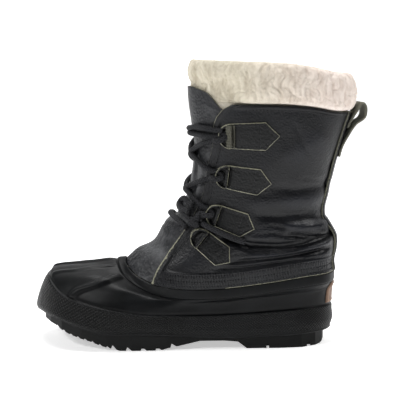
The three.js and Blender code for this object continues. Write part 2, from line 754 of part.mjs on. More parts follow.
// Where a strand of lace stops short of the D-ring of tab k, on the outer side
function laceStop(k) {
  const tilt = THREE.MathUtils.degToRad(tabs.tilt[k]);
  const reach = ringReach + ringWire + laceShort;
  const along = tabs.along[k] + (reach * Math.cos(tilt)) / footLength;
  return findOnShaft(along, tabs.up[k] + (reach * Math.sin(tilt)) / shaftHeight);
}

// How far the lace's middle stands off the shaft's surface, on the tongue and over the quarters
const laceOnTongue = laceDiameter / 2 - leatherWall + 2.5 * clearance;
const laceOnQuarter = laceDiameter / 2 + 2 * clearance;

// A strand of lace round the front of the tongue, from one place on the shaft to another. A row past the toe's
// is on the inner side, and climb lifts the middle of the strand by a share of a ring
function laceStrand(from, to, climb = 0) {
  const path = [0, 0.1, 0.22, 0.38, 0.5, 0.62, 0.78, 0.9, 1].map((t) => {
    const ring = mix(from.ring, to.ring, t) + climb * (1 - (2 * t - 1) ** 4);
    const row = mix(from.row, to.row, t);
    const nearQuarter = 1 - THREE.MathUtils.smoothstep(Math.abs(toeRow - row), 1.6, 2.1);
    return offsetPoint(shaftSurface, ring, row, mix(laceOnQuarter, laceOnTongue, nearQuarter));
  });
  return toSolid(cordGeometry(path, laceDiameter, 5, 11));
}

// The lace's fixed strands, joined: two bars at the top pair of D-rings, crossings down to the third pair, and
// the strand that comes back to the knot from the third D-ring on the inner side
function makeLaceCrossings() {
  const stops = [0, 1, 2].map(laceStop);
  const inner = ({ ring, row }) => ({ ring, row: rowsAround - row });
  const raised = { ring: stops[0].ring + 0.22, row: stops[0].row };
  let strands = laceStrand(raised, inner(raised), 0.3).add(laceStrand(stops[0], inner(stops[0])));
  for (const k of [0, 1]) {
    strands = strands.add(laceStrand(stops[k], inner(stops[k + 1])));
    strands = strands.add(laceStrand(inner(stops[k]), stops[k + 1]));
  }
  const byKnot = { ring: 4.25, row: 8.4 };
  return toGeometry(strands.add(laceStrand(inner(stops[2]), byKnot)));
}

// The lace's half bow, tied over the outer quarter's edge: points chosen by eye from the photograph
const knotTurns = [
  [[-138.7, -36.2, 132.4], [-136.2, -39.9, 127.7], [-132.9, -44.0, 123.6]],
  [[-141.1, -39.0, 124.3], [-136.1, -41.5, 129.7], [-130.2, -41.6, 130.8]],
];
const loopPoints = [
  [-141.2, -38.8, 137.2],
  [-145.0, -32.6, 138.2],
  [-150.0, -24.9, 140.2],
  [-150.9, -20.8, 145.4],
  [-146.6, -24.4, 148.8],
  [-142.2, -30.9, 145.0],
  [-137.9, -37.3, 143.0],
];
const outerEndPoints = [
  [-127.4, -44.6, 127.0],
  [-124.2, -46.8, 125.2],
  [-118.3, -49.0, 122.6],
  [-111.5, -49.8, 119.4],
  [-104.6, -50.2, 116.3],
  [-95.9, -49.1, 112.4],
  [-86.3, -47.4, 109.2],
];
const innerEndPoints = [
  [-144.3, -36.3, 121.9],
  [-148.6, -29.2, 124.9],
  [-156.4, -17.3, 128.6],
  [-162.4, 0.0, 130.6],
  [-160.8, 13.9, 128.7],
  [-158.2, 23.6, 122.6],
  [-160.3, 27.6, 113.1],
  [-168.4, 26.4, 102.7],
];
const asPath = (points) => points.map((point) => new THREE.Vector3(...point));

function makeKnot() {
  const turns = knotTurns.map((points) => toSolid(cordGeometry(asPath(points), laceDiameter * 1.2, 8, 6)));
  return toGeometry(turns[0].add(turns[1]));
}

// Back strip and pull loop: a stay down the back of the shaft and a webbing loop that stands off the collar
function strapOutline(path, thickness) {
  const offset = (k, distance) => {
    const [x0, z0] = path[Math.max(k - 1, 0)];
    const [x1, z1] = path[Math.min(k + 1, path.length - 1)];
    const run = Math.hypot(x1 - x0, z1 - z0);
    return [path[k][0] + (distance * (z1 - z0)) / run, path[k][1] - (distance * (x1 - x0)) / run];
  };
  const near = path.map((_, k) => offset(k, thickness / 2));
  const far = path.map((_, k) => offset(k, -thickness / 2)).reverse();
  return [...near, ...far];
}

function makeBackStrip() {
  const layer = shaftLayer(shaftRings, clearance + stripThickness, clearance);
  const box = new THREE.BoxGeometry(footLength, stripWidth, farUp).translate(0.4 * footLength, 0, 0);
  const backLine = (ring) => shaftSurface(ring, 0);
  const low = backLine(7.7);
  const top = backLine(collarRing);
  const out = clearance + stripThickness / 2;
  const path = [
    [low.x + out - 0.3, low.z - 8],
    [low.x + out + 2.6, low.z + 2],
    [low.x + loopBack * 0.55, low.z + 12],
    [low.x + loopBack, low.z + 24],
    [top.x + loopBack * 0.88, top.z - 6],
    [top.x + loopBack * 0.97, top.z + 3],
    [top.x + loopBack * 0.82, top.z + 8],
    [top.x + loopBack * 0.66, top.z + 7],
    [top.x + loopBack * 0.5, top.z + 2],
    [top.x + loopBack * 0.27, top.z - 4],
    [top.x + out - 0.6, top.z - 10],
    [top.x + out - 3.4, top.z - 16],
  ];
  const loop = sidePrism(strapOutline(path, stripThickness), -loopWidth / 2, loopWidth / 2);
  return toGeometry(layer.intersect(toSolid(box)).add(toSolid(loop)));
}

// Small plain patch on the back of the rubber heel
function makeHeelPatch() {
  const rings = [levels.band + 0.05, levels.band + 0.5, levels.shoulder, levels.shoulder + 0.5, levels.saddle, 4.6];
  const far = rings.map((level) => offsetLoop(rubberSurface, level, clearance + patchThickness));
  const near = rings.map((level) => offsetLoop(rubberSurface, level, clearance)).reverse();
  const layer = toSolid(loftGeometry([...far, ...near], true));
  const middle = 0.655 * rubberHeight;
  const box = new THREE.BoxGeometry(patchWidth, patchWidth, patchHeight).translate(0, 0, middle);
  return toGeometry(layer.intersect(toSolid(box)));
}

const black = 0x2b2c31;
const laceBlack = 0x1c1d20;
addPiece("rubber_shell", makeRubberShell(), 0x26282a, 0.55, 0);
addPiece("outsole", makeOutsole(), 0x222425, 0.65, 0);
addPiece("insole", makeInsole(), 0x8a7c68, 0.9, 0);
addPiece("felt_liner", makeFeltLiner(), 0xd8d2c4, 0.95, 0);
addPiece("leather_shaft", makeLeatherShaft(), black, 0.5, 0);
addPiece("tongue", makeTongue(), 0x4a4b4b, 0.6, 0);
addPiece("fleece_cuff", makeFleeceCuff(), 0xddd5c6, 0.95, 0);
addPiece("back_strip", makeBackStrip(), 0x55564e, 0.8, 0);
addPiece("heel_patch", makeHeelPatch(), 0x8a6a55, 0.6, 0);
for (const [side, sideName] of [[-1, "outer"], [1, "inner"]]) {
  for (let k = 0; k < tabs.along.length; k++) {
    const place = findOnShaft(tabs.along[k], tabs.up[k]);
    const frame = tabFrame(place, THREE.MathUtils.degToRad(tabs.tilt[k]), side);
    const half = tabHalfHeight * tabs.half[k];
    addPiece(`tab_${sideName}_${k + 1}`, makeTab(frame, tabLength * tabs.length[k], half), black, 0.5, 0);
    addPiece(`d_ring_${sideName}_${k + 1}`, makeRing(frame, ringHalfHeight * tabs.half[k]), 0x1b1b1c, 0.35, 0.8);
  }
}

addPiece("lace_crossings", makeLaceCrossings(), laceBlack, 0.8, 0);
addPiece("lace_knot", makeKnot(), laceBlack, 0.8, 0);
addPiece("lace_loop", cordGeometry(asPath(loopPoints), laceDiameter, 8, 12), laceBlack, 0.8, 0);
addPiece("lace_end_outer", cordGeometry(asPath(outerEndPoints), laceDiameter, 8, 8), laceBlack, 0.8, 0);
addPiece("lace_end_inner", cordGeometry(asPath(innerEndPoints), laceDiameter, 8, 14), laceBlack, 0.8, 0);

// The origin is on the floor, under the middle of the boot's box
const box = new THREE.Box3().setFromObject(boot);
boot.position.set(-(box.min.x + box.max.x) / 2, -(box.min.y + box.max.y) / 2, 0);

export default boot;
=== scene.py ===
# %% [markdown]
# Pac boot, left foot.
# A pac boot has three layers: a moulded rubber foot, a laced leather shaft sewn to it, and a felt liner
# with a fleece cuff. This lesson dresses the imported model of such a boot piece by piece. Lengths are
# millimetres, with x counted from the back of the heel toward the toe as negative numbers, until one
# function moves finished points to the model's frame in metres.

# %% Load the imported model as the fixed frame
import math

import bmesh
import bpy
import numpy as np
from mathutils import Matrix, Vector, noise as value_noise


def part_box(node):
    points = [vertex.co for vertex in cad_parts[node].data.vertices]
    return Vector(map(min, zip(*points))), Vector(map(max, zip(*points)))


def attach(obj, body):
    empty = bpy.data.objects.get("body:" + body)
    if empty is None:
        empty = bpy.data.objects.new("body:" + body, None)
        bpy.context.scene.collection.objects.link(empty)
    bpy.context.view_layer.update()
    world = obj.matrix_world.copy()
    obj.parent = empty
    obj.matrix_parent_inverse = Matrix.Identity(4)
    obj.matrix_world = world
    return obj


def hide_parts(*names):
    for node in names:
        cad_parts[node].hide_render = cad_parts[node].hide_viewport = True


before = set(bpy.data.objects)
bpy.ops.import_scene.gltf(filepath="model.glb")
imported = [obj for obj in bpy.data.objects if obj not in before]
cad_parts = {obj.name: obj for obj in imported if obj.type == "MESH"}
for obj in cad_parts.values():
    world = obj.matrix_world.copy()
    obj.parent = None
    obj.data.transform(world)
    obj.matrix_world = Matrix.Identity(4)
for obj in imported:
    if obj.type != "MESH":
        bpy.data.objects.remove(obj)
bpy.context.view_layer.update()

# %% [markdown]
# The boot is photographed from its outer side, three degrees round toward the heel, with the camera a
# little above the collar. A long lens keeps the sole and the cuff nearly parallel.

# %% Camera at the photograph's angle
MM = 0.001
heel_past_sole = 6.1
heel_from_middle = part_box("outsole")[1].x / MM + heel_past_sole
camera_turn = math.radians(3.0)
camera_distance = 1000.0
camera_height = 287.0
aim = Vector((2.4, 0.0, 143.5)) * MM
lens_over_sensor = 996.8 / 400


def put(name, data):
    """A new object with that data, in the scene."""
    thing = bpy.data.objects.new(name, data)
    bpy.context.scene.collection.objects.link(thing)
    return thing


camera_data = bpy.data.cameras.new("camera")
camera_data.sensor_width = 36.0
camera_data.lens = 36.0 * lens_over_sensor
camera = put("camera", camera_data)
sideways = camera_distance * MM * math.sin(camera_turn)
back_off = -camera_distance * MM * math.cos(camera_turn)
camera.location = (aim.x + sideways, back_off, camera_height * MM)
camera.rotation_mode = "QUATERNION"
camera.rotation_quaternion = (aim - camera.location).to_track_quat("-Z", "Y")
bpy.context.scene.camera = camera
print("camera lens", round(camera_data.lens, 1), "mm")

# %% [markdown]
# The rubber foot is one smooth surface through a lattice of points: rows go round the foot, and levels go
# up from the sole's edge to the rim. A Catmull-Rom spline in both directions blends the lattice, which is
# how a last maker fairs a shape between stations. The tables hold shares of a few real sizes.

# %% Sizes and tables of the rubber foot and the shaft
foot_length = 296.0
ball_half_width = 54.0
rubber_height = 80.0
rubber_wall = 2.5
heel_belly = 3.0
toe_belly = 7.0
band_step = 1.5
lip_width = 9.5
lip_step = 1.3
shaft_height = 242.0
shaft_half_width = 50.0
leather_wall = 2.2
tongue_wall = 2.0
tongue_lap = 13.0
clearance = 0.3
toe_row = 10
rows_round = 2 * toe_row


def columns(names, rows):
    return dict(zip(names.split(), np.array(rows, float).T))


foot = columns(
    "along outer inner edge band lean shoulder tuck swell lip_turn",
    [
        [0.0, 0.0, 0.0, 0.18, 0.49, -0.01, 0.69, -0.02, 0.0, 0.0],
        [0.03, 0.352, 0.352, 0.18, 0.505, -0.01, 0.69, -0.02, 0.0, 0.0],
        [0.11, 0.593, 0.593, 0.17, 0.5, 0.0, 0.675, -0.01, 0.0, 0.0],
        [0.24, 0.68, 0.67, 0.147, 0.465, 0.0, 0.63, 0.0, 0.0, 0.0],
        [0.37, 0.75, 0.715, 0.141, 0.44, 0.0, 0.58, 0.01, 0.0, 0.0],
        [0.5, 0.86, 0.79, 0.168, 0.44, 0.0, 0.565, 0.02, 0.005, 0.0],
        [0.63, 0.97, 0.9, 0.198, 0.457, 0.0, 0.585, 0.045, 0.02, 0.1],
        [0.77, 0.985, 0.975, 0.205, 0.54, 0.01, 0.67, 0.1, 0.05, 0.3],
        [0.9, 0.76, 0.87, 0.33, 0.655, 0.035, 0.81, 0.19, 0.05, 0.7],
        [0.975, 0.31, 0.6, 0.372, 0.82, 0.08, 0.9, 0.27, 0.015, 0.95],
        [1.0, 0.0, 0.0, 0.34, 0.85, 0.1, 0.92, 0.33, -0.012, 1.0],
    ],
)
toe_sweep = 0.167 * ball_half_width
ring_shape = columns(
    "reach wide rise",
    [
        [0.0, 0.0, 1.0],
        [0.037, 0.543, 1.0],
        [0.142, 0.815, 0.9],
        [0.35, 0.94, 0.43],
        [0.532, 0.989, 0.095],
        [0.695, 0.978, 0.0],
        [0.828, 0.88, 0.1],
        [0.916, 0.685, 0.35],
        [0.963, 0.478, 0.58],
        [0.991, 0.24, 0.825],
        [1.0, 0.0, 1.0],
    ],
)
shaft = columns(
    "front back front_up side_up back_up half round",
    [
        [0.704, -0.01, 0.346, 0.252, 0.309, 0.92, 0.0],
        [0.664, -0.005, 0.39, 0.31, 0.356, 0.93, 0.12],
        [0.611, -0.013, 0.433, 0.375, 0.415, 0.926, 0.3],
        [0.576, -0.008, 0.507, 0.445, 0.468, 0.904, 0.5],
        [0.531, 0.026, 0.554, 0.51, 0.525, 0.88, 0.7],
        [0.503, 0.029, 0.612, 0.585, 0.58, 0.876, 0.85],
        [0.489, 0.015, 0.674, 0.66, 0.655, 0.89, 0.95],
        [0.479, -0.003, 0.756, 0.75, 0.75, 0.92, 1.0],
        [0.476, -0.022, 0.843, 0.843, 0.84, 0.96, 1.0],
        [0.486, -0.039, 0.926, 0.926, 0.91, 0.988, 1.0],
        [0.495, -0.053, 1.004, 1.0, 0.967, 1.0, 1.0],
        [0.498, -0.062, 1.075, 1.07, 1.03, 1.01, 1.0],
    ],
)
throat = columns(
    "along up",
    [
        [0.618, 0.235],
        [0.602, 0.269],
        [0.581, 0.332],
        [0.541, 0.407],
        [0.495, 0.485],
        [0.461, 0.554],
        [0.432, 0.632],
        [0.416, 0.754],
        [0.402, 0.815],
        [0.396, 0.917],
        [0.388, 0.948],
        [0.367, 0.98],
        [0.338, 1.0],
    ],
)
tongue_top = columns(
    "along up",
    [
        [0.34, 0.96],
        [0.38, 0.985],
        [0.408, 1.025],
        [0.425, 1.045],
        [0.442, 1.053],
        [0.47, 1.064],
    ],
)


# %% [markdown]
# A lattice point is found from a few shares: how far along the foot it lies, how wide and how high. The
# shaft's rings are ovals whose ends lie at different heights. The foot's levels climb from the sole's edge
# over the band and the shoulder to the lip, and the last one is the shaft's lowest ring.

# %% Points of the two lattices
def unit(vectors):
    return vectors / np.linalg.norm(vectors, axis=-1, keepdims=True)


def mix(a, b, t):
    return a + (b - a) * t


def step_up(value, low, high):
    t = np.clip((np.asarray(value, float) - low) / (high - low), 0, 1)
    return t * t * (3 - 2 * t)


def shaft_point(ring, row, side):
    turn = math.pi * row / toe_row
    roundness = shaft["round"][ring]
    reach = mix(ring_shape["reach"][row], (1 - math.cos(turn)) / 2, roundness)
    wide = mix(ring_shape["wide"][row], math.sin(turn), roundness)
    end = shaft["front_up" if row > toe_row / 2 else "back_up"][ring]
    up = mix(shaft["side_up"][ring], end, ring_shape["rise"][row])
    along = mix(shaft["back"][ring], shaft["front"][ring], reach)
    half = shaft["half"][ring] * shaft_half_width
    return np.array([-along * foot_length, side * half * wide, up * shaft_height])


def foot_point(level, row, side):
    share = foot["along"][row]
    wide = foot["outer" if side < 0 else "inner"][row] * ball_half_width
    sweep = toe_sweep if row == toe_row else side * wide
    outline = np.array([-share * foot_length, sweep, 0.0])
    outward = np.array([mix(1, -1, float(np.clip(share * 1.6 - 0.3, 0, 1))), 0.0, 0.0])
    if 0 < row < toe_row:
        outward = unit(np.array([-(share - 0.5) * 2 * abs(share - 0.5) * 2, side, 0.0]))
    up = np.array([0.0, 0.0, rubber_height])
    if level == 0:
        return outline + foot["edge"][row] * up
    if level == 1:
        height = mix(foot["edge"][row], foot["band"][row], mix(0.45, 0.18, share**3))
        return outline + outward * mix(heel_belly, toe_belly, share**3) + height * up
    if level == 2:
        return outline - outward * foot["lean"][row] * ball_half_width + foot["band"][row] * up
    shoulder = outline - outward * foot["tuck"][row] * ball_half_width + foot["shoulder"][row] * up
    if level == 3:
        return shoulder
    rim = shaft_point(0, row, side)
    if level == 6:
        return rim
    down = np.array([0.0, 0.05 * side, -1.0])
    lip_way = unit(mix(down, unit(shoulder - rim), foot["lip_turn"][row]))
    lip = rim + lip_way * lip_width
    if level == 5:
        return lip
    swell = foot["swell"][row] * rubber_height
    return (shoulder + lip) / 2 + np.array([0.0, 0.5 * side * swell if row < toe_row else 0.0, swell])


def lattice(levels, point_at):
    sides = [(min(row, rows_round - row), -1 if row < toe_row else 1) for row in range(rows_round)]
    return np.array([[point_at(level, row, side) for row, side in sides] for level in range(levels)])


# %% [markdown]
# Both lattices become functions that give a point for any level and row. Rows close round the foot, and
# levels don't. A normal from two small steps lets each piece be laid on the form at a height of its own.

# %% Smooth surfaces through the lattices
def spline_weights(at, count, closed):
    start = np.floor(at) if closed else np.clip(np.floor(at), 0, count - 2)
    t = at - start
    picks = start[..., None].astype(int) + np.arange(-1, 3)
    picks = picks % count if closed else np.clip(picks, 0, count - 1)
    weights = [((2 - t) * t - 1) * t, (3 * t - 5) * t * t + 2, ((4 - 3 * t) * t + 1) * t, (t - 1) * t * t]
    return picks, np.stack(weights, -1) / 2


def smooth_surface(points):
    levels, rows = points.shape[:2]

    def surface(level, row):
        level, row = np.broadcast_arrays(np.asarray(level, float), np.asarray(row, float))
        level_picks, level_weights = spline_weights(level, levels, False)
        row_picks, row_weights = spline_weights(row, rows, True)
        near = points[level_picks[..., :, None], row_picks[..., None, :]]
        return np.einsum("...i,...j,...ijk->...k", level_weights, row_weights, near)

    return surface


foot_levels = 7
shaft_rings = len(shaft["half"])
rubber_surface = smooth_surface(lattice(foot_levels, foot_point))
shaft_surface = smooth_surface(lattice(shaft_rings, shaft_point))


def normals(surface, level, row):
    step = 0.05
    up = surface(level + step, row) - surface(level - step, row)
    around = surface(level, row + step) - surface(level, row - step)
    return unit(np.cross(up, around))


def lifted(surface, level, row, lift):
    level, row, lift = np.broadcast_arrays(*(np.asarray(v, float) for v in (level, row, lift)))
    return surface(level, row) + normals(surface, level, row) * lift[..., None]


print("rim at the toe", rubber_surface(6, 10).round(1), "collar at the side", shaft_surface(10, 5).round(1))


# %% [markdown]
# Every modelled skin here is a grid of points. Quads between them are easy to unwrap: the map is laid out
# in metres along and up the surface, so a pattern in a material can be scaled from its real pitch.

# %% Turn grids of points into meshes
def to_frame(points):
    return (np.asarray(points, float) + np.array([heel_from_middle, 0.0, 0.0])) * MM


def walked(points, axis=0):
    """Distance walked along an axis of a grid of points, from 0 at its start."""
    total = np.cumsum(np.linalg.norm(np.diff(points, axis=axis), axis=-1), axis)
    return np.concatenate([np.zeros_like(total.take([0], axis)), total], axis)


def stretches(*parts):
    """Even steps in several stretches, each given as its start, end and count."""
    return np.concatenate([np.linspace(*part) for part in parts])


def arc_map(points, closed=False):
    """Distances in metres along each row and up each column of a grid."""
    wide = np.concatenate([points, points[:, :1]], 1) if closed else points
    along = np.linalg.norm(np.diff(wide, axis=1), axis=-1).mean(0)
    up = np.linalg.norm(np.diff(wide, axis=0), axis=-1).mean(1)
    u = np.concatenate([[0], np.cumsum(along)])
    v = np.concatenate([[0], np.cumsum(up)])
    return np.stack(np.broadcast_arrays(u[None, :], v[:, None]), -1) * MM


def grid_quads(high, wide, round_rows=False, round_columns=False):
    i = np.arange(high if round_columns else high - 1)[:, None]
    j = np.arange(wide if round_rows else wide - 1)[None, :]
    corners = [(i, j), (i, j + 1), (i + 1, j + 1), (i + 1, j)]
    quads = [np.broadcast_to((a % high) * wide + b % wide, (len(i), j.shape[1])) for a, b in corners]
    maps = [np.stack(np.broadcast_arrays(a, b), -1) for a, b in corners]
    return np.stack(quads, -1).reshape(-1, 4), np.stack(maps, -2).reshape(-1, 4, 2)


def new_piece(name, points, faces, uv=None, values=None, smooth=True):
    """A mesh object in the frame from points in millimetres. values are named numbers, one for each point."""
    mesh = bpy.data.meshes.new(name)
    mesh.from_pydata(to_frame(points).tolist(), [], [list(map(int, face)) for face in faces])
    if uv is not None:
        layer = mesh.uv_layers.new(name="UVMap")
        layer.data.foreach_set("uv", np.asarray(uv, np.float32).ravel())
    for key, numbers in (values or {}).items():
        attribute = mesh.attributes.new(key, "FLOAT", "POINT")
        attribute.data.foreach_set("value", np.asarray(numbers, np.float32).ravel())
    mesh.validate(clean_customdata=False)
    mesh.shade_smooth() if smooth else mesh.shade_flat()
    return put(name, mesh)


def closed_skin(name, points, values=None):
    """A ring-shaped skin: rows close round the foot, and the last loop joins the first."""
    high, wide = points.shape[:2]
    quads, corners = grid_quads(high, wide, True, True)
    uv = arc_map(np.concatenate([points, points[:1]]), True)
    return new_piece(name, points.reshape(-1, 3), quads, uv[corners[..., 0], corners[..., 1]], values)


def thick_sheet(name, outer, inner, values=None, uv=None):
    """A sheet with an outer and an inner skin, and walls round its four sides, which get material 1."""
    high, wide = outer.shape[:2]
    quads, corners = grid_quads(high, wide)
    base = high * wide
    rim = [(0, j) for j in range(wide - 1)] + [(i, wide - 1) for i in range(high - 1)]
    rim += [(high - 1, j) for j in range(wide - 1, 0, -1)] + [(i, 0) for i in range(high - 1, 0, -1)]
    rim = np.array([i * wide + j for i, j in rim])
    ahead = np.roll(rim, -1)
    walls = np.stack([ahead, rim, rim + base, ahead + base], -1)
    faces = np.concatenate([quads, quads[:, ::-1] + base, walls])
    uv = arc_map(outer) if uv is None else uv
    skin_uv = uv[corners[..., 0], corners[..., 1]]
    flat = uv.reshape(-1, 2)
    wall_step = 0.002
    wall_uv = np.stack([flat[ahead], flat[rim], flat[rim] + wall_step, flat[ahead] + wall_step], 1)
    all_uv = np.concatenate([skin_uv, skin_uv[:, ::-1], wall_uv])
    both = {key: np.concatenate([v.ravel(), v.ravel()]) for key, v in (values or {}).items()}
    piece = new_piece(name, np.concatenate([outer.reshape(-1, 3), inner.reshape(-1, 3)]), faces, all_uv, both)
    marks = np.zeros(len(faces), np.int32)
    marks[-len(walls):] = 1
    piece.data.polygons.foreach_set("material_index", marks)
    return piece


def dress(piece, slot, materials, *nodes):
    """Gives a finished piece its materials and its body, and hides the CAD nodes that it stands for. The slot
    is not used.
    """
    for material in materials:
        piece.data.materials.append(material)
    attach(piece, "root")
    if nodes:
        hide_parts(*nodes)
    piece.data.calc_loop_triangles()
    print(piece.name, len(piece.data.loop_triangles), "triangles")
    return piece


# %% [markdown]
# Colours are read off the photograph as sRGB hex values. Blender's shaders want linear light, so one
# function turns them. One more adds a node with its settings and links, and the others here are built on
# it.

# %% Helpers for materials
def linear(hex_colour, alpha=1.0):
    channels = [int(hex_colour[k : k + 2], 16) / 255 for k in (1, 3, 5)]
    return (*[c / 12.92 if c <= 0.04045 else ((c + 0.055) / 1.055) ** 2.4 for c in channels], alpha)


def per_size(millimetres):
    """Noise scale at which one feature is that wide, on coordinates in metres."""
    return 1.0 / (millimetres * MM)


def add_node(owner, kind, settings=None, **inputs):
    """Adds a node to a material, world or node group. Inputs go by name, or by at and a number."""
    tree = getattr(owner, "node_tree", owner)
    node = tree.nodes.new(kind)
    for key, value in (settings or {}).items():
        setattr(node, key, value)
    for key, value in inputs.items():
        by_number = key.startswith("at") and key[2:].isdigit()
        socket = node.inputs[int(key[2:]) if by_number else key.replace("_", " ")]
        if isinstance(value, bpy.types.NodeSocket):
            tree.links.new(value, socket)
        else:
            socket.default_value = value
    return node


def new_material(name):
    material = bpy.data.materials.new(name)
    material.use_nodes = True
    material.node_tree.nodes.clear()
    return material


def finish_material(material, **inputs):
    """Gives a material its surface shader, with that shader's inputs."""
    shader = add_node(material, "ShaderNodeBsdfPrincipled", **inputs)
    add_node(material, "ShaderNodeOutputMaterial", Surface=shader.outputs[0])
    return material


def noise(material, size, detail=3.0, roughness=0.55, where=None, stretch=None):
    where = where or add_node(material, "ShaderNodeTexCoord").outputs["Object"]
    if stretch:
        where = add_node(material, "ShaderNodeMapping", Vector=where, Scale=stretch).outputs[0]
    node = add_node(material, "ShaderNodeTexNoise", Vector=where, Scale=per_size(size), Detail=detail)
    node.inputs["Roughness"].default_value = roughness
    return node.outputs["Fac"]


def ramp(material, value, low, high):
    """Runs from 0 at low to 1 at high."""
    node = add_node(material, "ShaderNodeMapRange", at0=value, at1=low, at2=high)
    return node.outputs[0]


def maths(material, operation, a, b=0.0):
    return add_node(material, "ShaderNodeMath", {"operation": operation}, at0=a, at1=b).outputs[0]


def times(material, a, b):
    return maths(material, "MULTIPLY", a, b)


def plus(material, a, b):
    return maths(material, "ADD", a, b)


def wave(material, along, pitch):
    """A sine along a coordinate in metres, with its pitch in millimetres."""
    return maths(material, "SINE", times(material, along, 2 * math.pi * per_size(pitch)))


def on_map(material):
    """The map's X and Y, in metres along and up a skin."""
    where = add_node(material, "ShaderNodeTexCoord").outputs["UV"]
    return add_node(material, "ShaderNodeSeparateXYZ", Vector=where).outputs


def blend_colours(material, factor, a, b):
    """A colour is a socket or a hex value."""
    a, b = (linear(colour) if isinstance(colour, str) else colour for colour in (a, b))
    node = add_node(material, "ShaderNodeMix", {"data_type": "RGBA"}, at0=factor, at6=a, at7=b)
    return node.outputs[2]


def bump(material, height, distance, strength=1.0, under=None):
    node = add_node(material, "ShaderNodeBump", Height=height, Distance=distance * MM, Strength=strength)
    if under is not None:
        material.node_tree.links.new(under, node.inputs["Normal"])
    return node.outputs[0]


def attribute(material, name):
    return add_node(material, "ShaderNodeAttribute", {"attribute_name": name}).outputs["Fac"]


# %% [markdown]
# Oiled full-grain leather has a fine pebble of about a millimetre, a waxy shine that breaks up over the
# grain, and paler ridges where it folds, while the troughs of the folds are darkened with painted shade. Its
# cut edges show the undyed fibre. The skin carries three numbers for each point: how far it rises over the
# smooth form, how near it is to a cut edge, and how deep it is tucked.

# %% Leather
def make_leather(name, dark, light, edge, grain, grain_depth, shine, wear):
    leather = new_material(name)
    rise = attribute(leather, "rise")
    near_edge = attribute(leather, "near_edge")
    cloud = noise(leather, 26.0, 4.0, 0.6)
    scuff = noise(leather, 7.0, 5.0, 0.7)
    # Paler on the ridges of the creases, by how far they rise, and in random clouds and scuffs.
    paleness = times(leather, ramp(leather, rise, 0.1, 1.5), wear)
    paleness = plus(leather, paleness, times(leather, ramp(leather, cloud, 0.5, 0.78), 0.5 * wear))
    paleness = plus(leather, paleness, times(leather, ramp(leather, scuff, 0.58, 0.8), 0.35 * wear))
    colour = blend_colours(leather, paleness, dark, light)
    # Painted shade: the troughs of the creases are darkened toward near-black.
    painted_crease_shade = ramp(leather, rise, -0.8, -3.2)
    colour = blend_colours(leather, times(leather, painted_crease_shade, 0.3), colour, "#070809")
    torn = noise(leather, 3.0, 4.0, 0.7)
    frayed = plus(leather, near_edge, times(leather, torn, 0.9))
    raw = ramp(leather, frayed, 1.0, 1.2)
    colour = blend_colours(leather, raw, colour, edge)
    cells = add_node(
        leather,
        "ShaderNodeTexVoronoi",
        {"feature": "SMOOTH_F1"},
        Vector=add_node(leather, "ShaderNodeTexCoord").outputs["Object"],
        Scale=per_size(grain),
    ).outputs["Distance"]
    fine = noise(leather, grain * 0.35, 2.0)
    relief = bump(leather, cells, grain_depth)
    relief = bump(leather, fine, grain_depth * 0.4, 0.8, relief)
    tuck = times(leather, wave(leather, on_map(leather)["X"], 2.7), attribute(leather, "tucks"))
    relief = bump(leather, tuck, 0.4, 0.9, relief)
    rough = plus(leather, times(leather, cloud, 0.3), shine - 0.1)
    rough = plus(leather, rough, times(leather, raw, 0.35))
    return finish_material(
        leather, Base_Color=colour, Roughness=rough, Normal=relief,
        IOR=1.48, Specular_IOR_Level=0.34,
    )


shaft_leather = make_leather("oiled_leather", "#090a0e", "#24262d", "#8d8c79", 1.7, 0.34, 0.33, 0.4)
tongue_leather = make_leather("pebbled_leather", "#202124", "#707173", "#8f8f7c", 2.6, 0.75, 0.36, 0.95)
tab_leather = make_leather("tab_leather", "#030405", "#0e0f13", "#9b9a86", 1.8, 0.35, 0.36, 0.3)


def make_raw_edge():
    """The cut side of oiled leather: pale, fibrous and dry."""
    edge = new_material("cut_leather_edge")
    fibre = noise(edge, 0.8, 3.0)
    colour = blend_colours(edge, fibre, "#3f4037", "#8b8a78")
    relief = bump(edge, fibre, 0.15)
    return finish_material(edge, Base_Color=colour, Roughness=0.85, Normal=relief)


raw_edge = make_raw_edge()

# %% [markdown]
# The foot is compression-moulded rubber: satin, faintly mottled, grey with dry dust where nothing rubs it.
# The foxing band is knurled with crossing grooves about two millimetres apart. Grooves that fine are drawn
# as bump from the map, and the number called knurl says where they lie. In the colour, the grooves are
# darkened with painted shade and the ridges are made lighter.

# %% Rubber
def make_rubber(name, dark, light, roughness):
    rubber = new_material(name)
    knurl_pitch, slant = 2.3, 0.71
    split = on_map(rubber)
    waves = []
    for operation in ("ADD", "SUBTRACT"):
        slanted = maths(rubber, operation, split["X"], split["Y"])
        turns = times(rubber, slanted, 2 * math.pi * per_size(knurl_pitch) * slant)
        waves.append(maths(rubber, "SINE", turns))
    diamonds = maths(rubber, "MINIMUM", waves[0], waves[1])
    diamonds = times(rubber, diamonds, attribute(rubber, "knurl"))
    mottle = noise(rubber, 30.0, 4.0, 0.62)
    dust = noise(rubber, 5.0, 5.0, 0.7)
    amount = plus(rubber, times(rubber, ramp(rubber, mottle, 0.4, 0.7), 0.5),
                   times(rubber, ramp(rubber, dust, 0.5, 0.8), 0.35))
    colour = blend_colours(rubber, amount, dark, light)
    # Painted shade: the knurl's grooves are darkened toward black. Its ridges are made lighter.
    groove = times(rubber, ramp(rubber, diamonds, 0.0, -0.9), 0.8)
    colour = blend_colours(rubber, groove, colour, "#020202")
    ridge = times(rubber, ramp(rubber, diamonds, 0.2, 0.9), 0.4)
    colour = blend_colours(rubber, ridge, colour, "#3c3d3c")
    relief = bump(rubber, diamonds, 0.55, 1.0)
    relief = bump(rubber, noise(rubber, 1.2, 3.0), 0.04, 0.6, relief)
    rough = plus(rubber, times(rubber, dust, 0.2), roughness - 0.1)
    return finish_material(
        rubber, Base_Color=colour, Roughness=rough, Normal=relief,
        Specular_IOR_Level=0.17,
    )


shell_rubber = make_rubber("moulded_rubber", "#070809", "#131517", 0.42)
sole_rubber = make_rubber("sole_rubber", "#060707", "#111212", 0.55)

